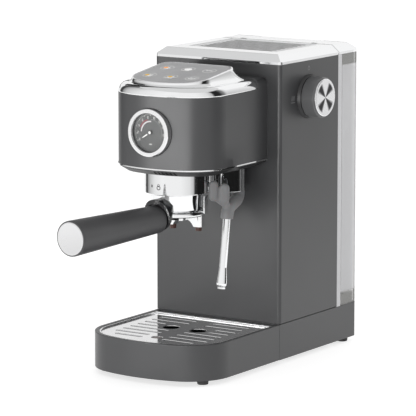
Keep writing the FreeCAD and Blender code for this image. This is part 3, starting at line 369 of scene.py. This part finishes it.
# One finish for each material slot of the record
FINISHES = {
    "graphite_paint": lambda: powder_coat("graphite_powder_coat", (0.036, 0.0365, 0.038), 0.34),
    "chrome_trim": lambda: plating("polished_chrome", (0.90, 0.905, 0.91), 0.03, 0.085),
    "stainless": lambda: plating("polished_stainless", (0.76, 0.76, 0.765), 0.06, 0.14),
    "black_plastic": lambda: moulded("black_moulding", (0.020, 0.020, 0.021), 0.42),
    "dark_plastic": lambda: moulded("charcoal_moulding", (0.022, 0.022, 0.023), 0.38),
    "grey_silicone": lambda: silicone("grey_silicone", (0.14, 0.14, 0.143)),
    "brown_silicone": lambda: silicone("brown_silicone", (0.040, 0.009, 0.004)),
    "seal_rubber": lambda: moulded("seal_rubber", (0.022, 0.022, 0.022), 0.65, 0.0012, 0.00002),
    "panel_film": lambda: brushed("panel_film", (0.60, 0.60, 0.61), 0.28, 0.40, (1.0, 30.0, 1.0)),
    "dial_face": lambda: moulded("dial_print_ground", (0.055, 0.057, 0.057), 0.55, 0.0005, 0.000004),
    "gauge_glass": lambda: clear_sheet("gauge_glass", (0.9, 0.9, 0.9), 0.0, 0.05, 0.000002, 0.3),
    "cast_aluminium": lambda: brushed("cast_aluminium", (0.55, 0.55, 0.56), 0.35, 0.5, EVEN, 0.00002),
    "brass": lambda: brushed("brass", (0.60, 0.42, 0.16), 0.25, 0.38, EVEN),
    "needle_paint": lambda: moulded("white_enamel", (0.80, 0.80, 0.79), 0.4, 0.0004, 0.000003),
    "hose_silicone": lambda: silicone("hose_silicone", (0.55, 0.55, 0.53)),
    "board_green": lambda: moulded("circuit_board", (0.02, 0.11, 0.04), 0.35, 0.0015, 0.00003),
    "coil_wrap": lambda: moulded("coil_wrap", (0.30, 0.09, 0.02), 0.5, 0.0006, 0.00003),
}

# Nodes whose look differs from that of their slot
SPECIAL = {
    "knob_face": turned_face,
    "rear_bulkhead": railed_wall,
    "warming_plate": slotted_steel,
    "gauge_bezel": lambda: plating("bezel_chrome", (0.93, 0.93, 0.935), 0.19, 0.22),
    "gauge_needle": pointer_enamel,
    "knob_body": lambda: powder_coat("graphite_knob", (0.095, 0.096, 0.098), 0.36),
    "tray_rim": lambda: plating("satin_tray_rim", (0.90, 0.90, 0.905), 0.24, 0.32, 0.0006),
    "tank_body": banded_tank,
    "tank_lid": rolled_lid,
    "handle_cap": lambda: brushed("spun_end_cap", (0.80, 0.80, 0.805), 0.26, 0.34, EVEN),
    "handle_grip": lambda: moulded("handle_soft_grip", (0.038, 0.038, 0.040), 0.46, 0.0006, 0.000012),
    "handle_saddle": lambda: moulded("gloss_black_moulding", (0.010, 0.010, 0.011), 0.16, 0.0008, 0.000002),
}


def dress_frame():
    """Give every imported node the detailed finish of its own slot, or one of its own."""
    made = {}
    for node, piece in frame["nodes"].items():
        kind = node if node in SPECIAL else SUBPARTS[node]
        if kind not in made:
            made[kind] = (SPECIAL.get(kind) or FINISHES[kind])().material
        piece.data.materials.clear()
        piece.data.materials.append(made[kind])
    return made


finishes = dress_frame()


# ---------------------------------------------------------------- outlines
# D-shaped outlines in millimetres: half width, front apex, front radius, corner radius, back edge and
# the radius of the back corners
COVER_D = (59.5, -119.5, 104.0, 42.0, -18.0, 0.0)
POD_D = (43.0, -108.0, 80.0, 24.0, -29.0, 12.0)
# The touch panel tilts about the line at this depth and height
PANEL_Y = -90.0
PANEL_Z = 295.0
PANEL_TILT = math.radians(7.7)


def turn_points(centre, radius, start, end, count):
    return [(centre[0] + radius * math.cos(start + (end - start) * k / count),
             centre[1] + radius * math.sin(start + (end - start) * k / count)) for k in range(count + 1)]


def spaced(points, count):
    """The same path as count equal steps."""
    lengths = [0.0]
    for a, b in zip(points, points[1:]):
        lengths.append(lengths[-1] + math.dist(a, b))
    result = []
    index = 0
    for step in range(count + 1):
        goal = lengths[-1] * step / count
        while index < len(lengths) - 2 and lengths[index + 1] < goal:
            index += 1
        share = (goal - lengths[index]) / max(lengths[index + 1] - lengths[index], 1e-9)
        a, b = points[index], points[index + 1]
        result.append((a[0] + (b[0] - a[0]) * share, a[1] + (b[1] - a[1]) * share))
    return result


def dee(outline, inset, keep_back=False, side_steps=64, back_steps=24):
    """Closed D outline from the back right corner round the front to the left, then along the back."""
    half, apex, front_r, corner_r, back, back_r = outline
    half, apex, front_r, corner_r = half - inset, apex + inset, front_r - inset, corner_r - inset
    back = back if keep_back else back - inset
    turn = back_r - inset if back_r else 0.0
    front_y = apex + front_r
    corner_x = half - corner_r
    reach = front_r - corner_r
    corner_y = front_y - math.sqrt(reach ** 2 - corner_x ** 2)
    lean = math.atan2(corner_y - front_y, corner_x)
    corner = [(half, back)]
    if turn:
        corner = turn_points((half - turn, back - turn), turn, math.pi / 4, 0.0, 8)
    right = corner + turn_points((corner_x, corner_y), corner_r, 0.0, lean, 24)
    right += turn_points((0.0, front_y), front_r, lean, -math.pi / 2, 24)[1:]
    left = [(-x, y) for x, y in reversed(right)][1:]
    far_side = [(-half, back)]
    if turn:
        far_side = turn_points((turn - half, back - turn), turn, math.pi * 0.75, math.pi / 2, 8)
    back_path = far_side + [(-x, y) for x, y in reversed(far_side)]
    round_path = spaced(right + left, 2 * side_steps)
    return round_path + spaced(back_path, back_steps)[1:-1]


def on_panel(x, y, lift=0.0):
    """A point of the level panel drawing, carried to the tilted panel plane, in metres."""
    dy = y - PANEL_Y
    return Vector((x, PANEL_Y + math.cos(PANEL_TILT) * dy - math.sin(PANEL_TILT) * lift,
                   PANEL_Z + math.sin(PANEL_TILT) * dy + math.cos(PANEL_TILT) * lift)) * MM


# ---------------------------------------------------------------- mesh helpers
def piece(name, mesh, body, kind, smooth=True, material=None):
    """Link a finished bmesh as an object that rides on a body, finished as the named record slot unless a
    material is given.
    """
    data = bpy.data.meshes.new(name)
    mesh.to_mesh(data)
    mesh.free()
    for face in data.polygons:
        face.use_smooth = smooth
    item = bpy.data.objects.new(name, data)
    bpy.context.scene.collection.objects.link(item)
    data.materials.append(material or finishes[kind])
    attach(item, body)
    return item


def modifier(item, kind, **settings):
    added = item.modifiers.new(kind.lower(), kind)
    for key, value in settings.items():
        setattr(added, key, value)
    return added


def band(mesh, rings):
    """Quads between rings of points with equal counts."""
    rows = [[mesh.verts.new(point) for point in ring] for ring in rings]
    count = len(rows[0])
    for low, high in zip(rows, rows[1:]):
        for k in range(count):
            n = (k + 1) % count
            mesh.faces.new((low[n], low[k], high[k], high[n]))


def plate(mesh, outline, place, thickness):
    """A thin solid: the closed outline of 2-D points, set by place(x, y, lift)."""
    low = [mesh.verts.new(place(x, y, 0.0)) for x, y in outline]
    high = [mesh.verts.new(place(x, y, thickness)) for x, y in outline]
    count = len(outline)
    mesh.faces.new(low[::-1])
    mesh.faces.new(high)
    for k in range(count):
        n = (k + 1) % count
        mesh.faces.new((low[k], low[n], high[n], high[k]))


def arc_band(inner, outer, start, end, centre=(0.0, 0.0), step=6.0):
    """Outline of a ring sector, angles in degrees."""
    count = max(2, int(abs(end - start) / step))
    a, b = math.radians(start), math.radians(end)
    return turn_points(centre, outer, a, b, count) + turn_points(centre, inner, b, a, count)


def ring_plate(mesh, centre, inner, outer, place, thickness, steps=40):
    """A thin annulus."""
    loops = []
    for radius, lift in ((outer, 0.0), (outer, thickness), (inner, thickness), (inner, 0.0)):
        loops.append([mesh.verts.new(place(x, y, lift))
                      for x, y in turn_points(centre, radius, 0.0, 2 * math.pi, steps)[:-1]])
    for first, second in zip(loops, loops[1:] + loops[:1]):
        for k in range(steps):
            n = (k + 1) % steps
            mesh.faces.new((first[k], first[n], second[n], second[k]))


def disc_points(centre, radius, steps=20, squash=1.0):
    return [(x, centre[1] + (y - centre[1]) * squash)
            for x, y in turn_points(centre, radius, 0.0, 2 * math.pi, steps)[:-1]]


def bar(x, y, length, width, angle=0.0):
    """A round-ended stroke."""
    half = length / 2 - width / 2
    turn = math.radians(angle)
    points = turn_points((half, 0), width / 2, -math.pi / 2, math.pi / 2, 6)
    points += turn_points((-half, 0), width / 2, math.pi / 2, math.pi * 1.5, 6)
    return [(x + math.cos(turn) * u - math.sin(turn) * v, y + math.sin(turn) * u + math.cos(turn) * v)
            for u, v in points]


# ---------------------------------------------------------------- head cover
def head_cover_skin():
    """One pressed chrome skin: bevelled cover that sweeps up into the brow round the panel."""
    rings = []
    shoulder_inset, shoulder_z = 9.5, 289.4
    profile = [(0.0, 280.02), (0.0, 281.2), (0.35, 283.0), (1.1, 284.8), (2.1, 286.4), (3.4, 287.8),
               (5.0, 288.8), (6.9, 289.3), (shoulder_inset, shoulder_z)]
    for inset, z in profile:
        rings.append([Vector((x, y, z)) * MM for x, y in dee(COVER_D, inset, True)])
    foot = dee(COVER_D, shoulder_inset, True)
    brow = dee(POD_D, 0.0)
    steps = 10
    for step in range(1, steps + 1):
        t = step / steps
        across = 1 - (1 - t) ** 1.3
        rise = t ** 1.7
        ring = []
        for (ax, ay), (bx, by) in zip(foot, brow):
            start = Vector((ax, ay, shoulder_z)) * MM
            edge = on_panel(bx, by)
            ring.append(Vector((start.x + (edge.x - start.x) * across,
                                start.y + (edge.y - start.y) * across,
                                start.z + (edge.z - start.z) * rise)))
        rings.append(ring)
    for inset, lift in ((0.25, 0.12), (1.05, 0.12), (1.3, 0.0), (1.3, -1.9), (5.0, -1.9)):
        rings.append([on_panel(x, y, lift - 0.12) for x, y in dee(POD_D, inset)])
    mesh = bmesh.new()
    band(mesh, rings)
    skin = piece("head_cover_skin", mesh, "machine", "chrome_trim")
    modifier(skin, "SOLIDIFY", thickness=0.0011, offset=-1.0)
    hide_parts("head_top_cover", "control_pod")


def warming_grille():
    """Cup-warming plate as pressed sheet with long slots across it."""
    half_width, slot_end, top = 52.7, 43.0, 312.6
    front, back, slots, pitch, slot_half = 27.3, 106.7, 9, 8.0, 1.7
    columns = [-half_width, -slot_end, slot_end, half_width]
    rows = [front]
    for index in range(slots):
        middle = (front + back) / 2 + (index - (slots - 1) / 2) * pitch
        rows += [middle - slot_half, middle + slot_half]
    rows.append(back)
    mesh = bmesh.new()
    grid = [[mesh.verts.new(Vector((x, y, top)) * MM) for x in columns] for y in rows]
    for j in range(len(rows) - 1):
        for i in range(3):
            if i == 1 and j % 2 == 1:
                continue
            mesh.faces.new((grid[j][i], grid[j][i + 1], grid[j + 1][i + 1], grid[j + 1][i]))
    sheet = piece("warming_grille", mesh, "machine", "stainless", False, finishes["warming_plate"])
    modifier(sheet, "SOLIDIFY", thickness=0.0015, offset=-1.0)
    modifier(sheet, "BEVEL", width=0.0003, segments=2)
    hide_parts("warming_plate")


# ---------------------------------------------------------------- prints
# Thickness of a printed layer in millimetres
PRINT = 0.05


def key_icons():
    """Ring and symbol printed on each of the six touch keys; lit ones glow."""
    white = glow("lit_white_print", (0.90, 0.90, 0.89), 0.22).material
    orange = glow("lit_orange_print", (0.95, 0.33, 0.05), 0.45).material
    amber = glow("lit_amber_print", (0.72, 0.44, 0.03), 0.35).material
    pale = moulded("pale_key_print", (0.78, 0.78, 0.77), 0.5, 0.0004, 0.000002).material

    def above(x, y, lift):
        return on_panel(x, y, lift - 0.19)

    def over_signs(x, y, lift):
        return above(x, y, lift + 0.06)

    thick = PRINT
    rings = bmesh.new()
    signs = bmesh.new()
    keys = [(x, y) for y in (-83.0, -51.7) for x in (-25.0, 0.0, 25.0)]
    for x, y in keys:
        ring_plate(rings, (x, y), 6.3, 7.3, above, thick)
    for x, y in keys[:2] + keys[3:5]:
        wide = 2.9 if x < 0 else 4.0
        plate(signs, arc_band(wide - 0.9, wide, 180, 360, (x + 0.4, y)), above, thick)
        plate(signs, bar(x + 0.4, y, 2 * wide, 0.9), above, thick)
        plate(signs, bar(x + 0.4, y - wide - 0.6, 2 * wide, 0.6), above, thick)
        for side in (-1.3, 1.3):
            plate(signs, bar(x + 0.4 + side, y + 2.4, 2.6, 0.8, 80), above, thick)
    for x in (-2.6, 0.0, 2.6):
        plate(signs, bar(25.0 + x, -83.0 + 0.6 * abs(x), 4.6, 0.8, 90), above, thick)
    plate(signs, arc_band(3.6, 4.4, 200, 340, (25.0, -82.0)), above, thick)
    plate(signs, bar(25.0, -51.0, 8.6, 0.8), above, thick)
    plate(signs, arc_band(2.8, 3.5, 20, 160, (25.0, -53.6)), above, thick)
    piece("key_rings", rings, "machine", "needle_paint", False, pale)
    piece("key_symbols", signs, "machine", "needle_paint", False, white)
    lamps = (("ready_lamp", -26.5, -51.7, orange), ("single_cup_lamp", -28.0, -83.0, amber),
             ("double_cup_lamp", -0.8, -83.0, amber))
    for name, x, y, light in lamps:
        mesh = bmesh.new()
        plate(mesh, disc_points((x, y), 2.3), over_signs, thick)
        piece(name, mesh, "machine", "needle_paint", False, light)
    mesh = bmesh.new()
    plate(mesh, disc_points((0.0, -51.7), 4.2, 28, 0.72), over_signs, thick)
    piece("power_lamp", mesh, "machine", "needle_paint", False, white)


# Strokes of a seven-segment figure: place across and up in half heights, and the angle
SEGMENTS = {"a": (0, 1, 0), "b": (0.5, 0.5, 90), "c": (0.5, -0.5, 90), "d": (0, -1, 0),
            "e": (-0.5, -0.5, 90), "f": (-0.5, 0.5, 90), "g": (0, 0, 0)}
DIGITS = {"0": "abcdef", "1": "bc", "2": "abged", "4": "fgbc", "6": "afgedc", "8": "abcdefg"}


def dial_print():
    """Scale of the pressure gauge: ticks, figures, a pale and a red zone, and two thin arcs."""
    def flat(x, y, lift):
        return Vector((x, -118.62 - lift, 244.6 + y)) * MM

    thick = PRINT
    ticks = bmesh.new()
    spread = [210.0 - 24.0 * k / 5 for k in range(46)]
    for index, angle in enumerate(spread):
        turn = math.radians(angle)
        long = index % 5 == 0
        length = 2.0 if long else 1.1
        radius = 18.3 - length / 2
        width = 0.60 if long else 0.40
        x, y = radius * math.cos(turn), radius * math.sin(turn)
        plate(ticks, bar(x, y, length, width, angle), flat, thick)
    for index in range(9):
        turn = math.radians(210.0 - 27.0 * index)
        label = str(2 * index)
        for place, digit in enumerate(label):
            shift = (place - (len(label) - 1) / 2) * 1.6
            for name in DIGITS[digit]:
                u, v, angle = SEGMENTS[name]
                x = 14.9 * math.cos(turn) + shift + u * 1.1
                y = 14.9 * math.sin(turn) + v * 1.1
                plate(ticks, bar(x, y, 1.3, 0.42, angle), flat, thick)
    plate(ticks, bar(0.0, -11.6, 3.4, 1.0), flat, thick)
    # The dial's ticks and figures glow faintly though the gauge has no lamp: painted light that brightens
    # the print.
    piece("dial_scale", ticks, "machine", "needle_paint", False,
          glow("dial_print_painted_glow", (0.42, 0.42, 0.41), 0.06).material)
    arcs = bmesh.new()
    plate(arcs, arc_band(12.75, 13.15, 88, -31), flat, thick)
    plate(arcs, arc_band(19.0, 19.25, 225, -45), flat, thick)
    piece("dial_thin_arcs", arcs, "machine", "needle_paint", False,
          moulded("grey_dial_print", (0.22, 0.23, 0.23), 0.5, 0.0004, 0.000002).material)
    zone = bmesh.new()
    plate(zone, arc_band(10.2, 11.5, 178, 86), flat, thick)
    piece("dial_zone", zone, "machine", "needle_paint", False,
          moulded("pale_dial_print", (0.52, 0.49, 0.50), 0.5, 0.0004, 0.000002).material)
    red = bmesh.new()
    plate(red, arc_band(12.2, 13.2, 160, 106), flat, thick)
    piece("dial_red_zone", red, "machine", "needle_paint", False,
          moulded("red_dial_print", (0.22, 0.03, 0.045), 0.5, 0.0004, 0.000002).material)


def collar_marks():
    """Lock marks engraved in black round the collar: a padlock, a dot and an open mark."""
    collar_radius, collar_y, collar_z = 32.1, -73.0, 188.0

    def wrapped(x, y, lift):
        angle = math.radians(-90.0) + x / collar_radius
        radius = collar_radius + lift
        return Vector((radius * math.cos(angle), collar_y + radius * math.sin(angle), collar_z + y)) * MM

    marks = bmesh.new()
    ring_plate(marks, (0.0, 0.0), 1.35, 2.2, wrapped, 0.04, 24)
    ring_plate(marks, (0.0, 2.4), 0.85, 1.4, wrapped, 0.06, 20)
    plate(marks, bar(-8.6, 1.2, 3.0, 1.7, 90), wrapped, 0.04)
    plate(marks, bar(-16.4, 1.5, 3.4, 0.7, 90), wrapped, 0.04)
    ring_plate(marks, (-19.5, 0.4), 1.0, 1.6, wrapped, 0.04, 20)
    piece("collar_marks", marks, "machine", "dark_plastic", False)


def side_marks():
    """Steam and off marks printed beside the knob."""
    def wall(x, y, lift):
        return Vector((75.0 + lift, x, y)) * MM

    marks = bmesh.new()
    for shift in (-2.2, 0.0, 2.2):
        plate(marks, bar(24.0 + shift, 268.0, 5.0, 0.8, 80), wall, PRINT)
    plate(marks, bar(24.0, 263.6, 7.0, 0.8), wall, PRINT)
    ring_plate(marks, (54.0, 295.5), 1.4, 2.1, wall, PRINT, 24)
    plate(marks, bar(54.0, 297.2, 2.6, 0.7, 90), wall, 0.07)
    piece("knob_marks", marks, "machine", "needle_paint", False,
          moulded("grey_side_print", (0.16, 0.16, 0.165), 0.5, 0.0004, 0.000002).material)


def knob_pointer():
    """Bright pointer set into the rim of the knob."""
    mesh = bmesh.new()
    bmesh.ops.create_cube(mesh, size=1.0)
    bmesh.ops.scale(mesh, vec=Vector((2.4, 1.0, 0.8)) * MM, verts=mesh.verts)
    bmesh.ops.translate(mesh, vec=Vector((91.0, 54.0, 287.0)) * MM, verts=mesh.verts)
    pointer = piece("knob_pointer", mesh, "steam_knob", "stainless", False)
    modifier(pointer, "BEVEL", width=0.0002, segments=3)


def wand_grip_soft():
    """Melt the grip's paddles, boot and sleeve into one soft moulding."""
    grip = frame["nodes"]["wand_grip"]
    modifier(grip, "REMESH", mode="VOXEL", voxel_size=0.0006, use_smooth_shade=True)
    modifier(grip, "SMOOTH", factor=0.5, iterations=10)


head_cover_skin()
warming_grille()
key_icons()
dial_print()
collar_marks()
side_marks()
knob_pointer()
wand_grip_soft()


# ---------------------------------------------------------------- studio
def studio_world():
    """Soft white surround, a little brighter where the camera looks past the object."""
    world = bpy.data.worlds.new("studio")
    bpy.context.scene.world = world
    world.use_nodes = True
    tree = world.node_tree
    soft = tree.nodes["Background"]
    soft.inputs["Strength"].default_value = 0.72
    bright = tree.nodes.new("ShaderNodeBackground")
    bright.inputs["Strength"].default_value = 1.1
    for ground in (soft, bright):
        ground.inputs["Color"].default_value = (1.0, 1.0, 1.0, 1.0)
    path = tree.nodes.new("ShaderNodeLightPath")
    mixer = tree.nodes.new("ShaderNodeMixShader")
    tree.links.new(path.outputs["Is Camera Ray"], mixer.inputs["Fac"])
    tree.links.new(soft.outputs["Background"], mixer.inputs[1])
    tree.links.new(bright.outputs["Background"], mixer.inputs[2])
    tree.links.new(mixer.outputs["Shader"], tree.nodes["World Output"].inputs["Surface"])


def floor():
    """Wide pale disc, bright enough to melt into the backdrop."""
    finish = Finish("pale_floor", (0.50, 0.50, 0.50), 0.7)
    grain = finish.noise(0.004, 2.0)
    finish.roughness(grain, 0.65, 0.75)
    finish.set("Emission Color", (1.0, 1.0, 1.0, 1.0)).set("Emission Strength", 0.72)
    finish.set("Specular IOR Level", 0.2)
    bpy.ops.mesh.primitive_circle_add(vertices=96, radius=14.0, fill_type="NGON")
    disc = bpy.context.object
    disc.name = "floor"
    disc.data.materials.append(finish.material)


def softbox(name, compass, height, distance, size, power, aim=(0.0, -0.04, 0.17)):
    """Rectangular lamp at a compass angle, 0 at the front and 90 at the right as seen from the front."""
    turn = math.radians(compass)
    place = Vector((distance * math.sin(turn), -distance * math.cos(turn), height))
    lamp = bpy.data.lights.new(name, "AREA")
    lamp.shape = "RECTANGLE"
    lamp.size, lamp.size_y = size
    lamp.energy = power
    holder = bpy.data.objects.new(name, lamp)
    bpy.context.scene.collection.objects.link(holder)
    holder.location = place
    holder.rotation_euler = (Vector(aim) - place).to_track_quat("-Z", "Y").to_euler()
    holder.visible_camera = False
    return holder


# Finishes that the key lamp passes by: bright metal, the gauge's glass and the set itself
UNLIT_BY_KEY = ("polished_chrome", "rolled_chrome_lid", "polished_stainless", "bezel_chrome",
                "spun_end_cap", "knob_turned_metal", "cast_aluminium", "brass", "gauge_glass",
                "pale_floor", "reflector_wall")


def satin_only(holder):
    """Keep a lamp off the bright metal, so that it shapes the paint without glaring in the chrome."""
    lit = bpy.data.collections.new("satin_surfaces")
    for item in bpy.context.scene.objects:
        if item.type == "MESH" and item.data.materials and item.data.materials[0].name not in UNLIT_BY_KEY:
            lit.objects.link(item)
    holder.light_linking.receiver_collection = lit
    holder.data.cycles.use_multiple_importance_sampling = False


def unseen(item):
    """Only reflections see this part of the set."""
    item.visible_camera = False
    item.visible_diffuse = False
    item.visible_transmission = False
    item.visible_shadow = False


def emitter(name, level):
    """Plain glowing material, with its node tree and its light node."""
    material = bpy.data.materials.new(name)
    material.use_nodes = True
    tree = material.node_tree
    tree.nodes.remove(tree.nodes["Principled BSDF"])
    light = tree.nodes.new("ShaderNodeEmission")
    light.inputs["Color"].default_value = (level, level, level, 1.0)
    tree.links.new(light.outputs["Emission"], tree.nodes["Material Output"].inputs["Surface"])
    return material, tree, light


# Brightness of the wall round the set by compass angle: 0 at the back, 90 at the left seen from the front
WALL = [
    (-180, 0.95), (-136, 0.95), (-104, 0.80), (-90, 0.55), (-84, 0.05), (-80, 0.02), (-66, 0.02),
    (-60, 0.05), (-45, 0.26), (-37, 0.68), (-25, 1.0), (10, 1.0), (28, 0.93), (76, 0.93), (80, 0.06),
    (92, 0.06), (98, 0.30), (112, 0.60), (134, 0.85), (165, 0.97), (180, 0.95),
]


def reflector_wall():
    """Ring wall round the set that only reflections see: pale, with a few dark stretches."""
    bpy.ops.mesh.primitive_cylinder_add(vertices=96, radius=0.95, depth=1.3, end_fill_type="NOTHING",
                                        location=(0, 0, 0.651))
    wall = bpy.context.object
    wall.name = "reflector_wall"
    material, tree, light = emitter("reflector_wall", 1.0)
    place = tree.nodes.new("ShaderNodeTexCoord")
    around = tree.nodes.new("ShaderNodeMapping")
    around.inputs["Rotation"].default_value = (0.0, 0.0, math.radians(-90))
    tree.links.new(place.outputs["Object"], around.inputs["Vector"])
    angle = tree.nodes.new("ShaderNodeTexGradient")
    angle.gradient_type = "RADIAL"
    tree.links.new(around.outputs["Vector"], angle.inputs["Vector"])
    ramp = tree.nodes.new("ShaderNodeValToRGB")
    stops = ramp.color_ramp.elements
    while len(stops) > 1:
        stops.remove(stops[-1])
    for index, (compass, level) in enumerate(WALL):
        position = (compass + 180) / 360
        stop = stops[0] if index == 0 else stops.new(position)
        stop.position = position
        stop.color = (level, level, level, 1.0)
    tree.links.new(angle.outputs["Fac"], ramp.inputs["Fac"])
    tree.links.new(ramp.outputs["Color"], light.inputs["Color"])
    wall.data.materials.append(material)
    unseen(wall)


def upright_flag(name, path, z):
    """Folding black card, standing along a path in plan, that only reflections see."""
    points = [(x, y, z[0]) for x, y in path] + [(x, y, z[1]) for x, y in path]
    count = len(path)
    data = bpy.data.meshes.new(name)
    data.from_pydata(points, [], [(k, k + 1, k + 1 + count, k + count) for k in range(count - 1)])
    item = bpy.data.objects.new(name, data)
    bpy.context.scene.collection.objects.link(item)
    data.materials.append(emitter(name, 0.01)[0])
    unseen(item)


def camera():
    """Long lens from the front right, a little above the machine."""
    azimuth, elevation, distance = math.radians(33.312), math.radians(9.414), 3.065945
    target = Vector((-0.010962, 0.0, 0.15263))
    outward = Vector((math.sin(azimuth) * math.cos(elevation), -math.cos(azimuth) * math.cos(elevation),
                      math.sin(elevation)))
    data = bpy.data.cameras.new("camera")
    data.sensor_width = 36.0
    data.lens = 261.83
    holder = bpy.data.objects.new("camera", data)
    bpy.context.scene.collection.objects.link(holder)
    holder.location = target + outward * distance
    holder.rotation_euler = (-outward).to_track_quat("-Z", "Y").to_euler()
    bpy.context.scene.camera = holder


studio_world()
floor()
reflector_wall()
upright_flag("housing_flag", [(0.035, -0.0668), (0.090, -0.057), (0.090, -0.010)], (0.158, 0.216))
upright_flag("rear_low_flag", [(-0.80, 0.30), (-0.50, 0.74), (-0.05, 0.90)], (0.313, 0.37))
upright_flag("rear_high_flag", [(-0.88, 0.20), (-0.74, 0.50), (-0.55, 0.71), (-0.36, 0.83)], (0.72, 1.30))
satin_only(softbox("key_softbox", -2.0, 0.19, 0.80, (1.10, 0.36), 5.5))
softbox("fill_softbox", 140.0, 0.5, 1.6, (1.0, 1.2), 7.0)
camera()
bpy.context.scene.view_settings.view_transform = "Standard"
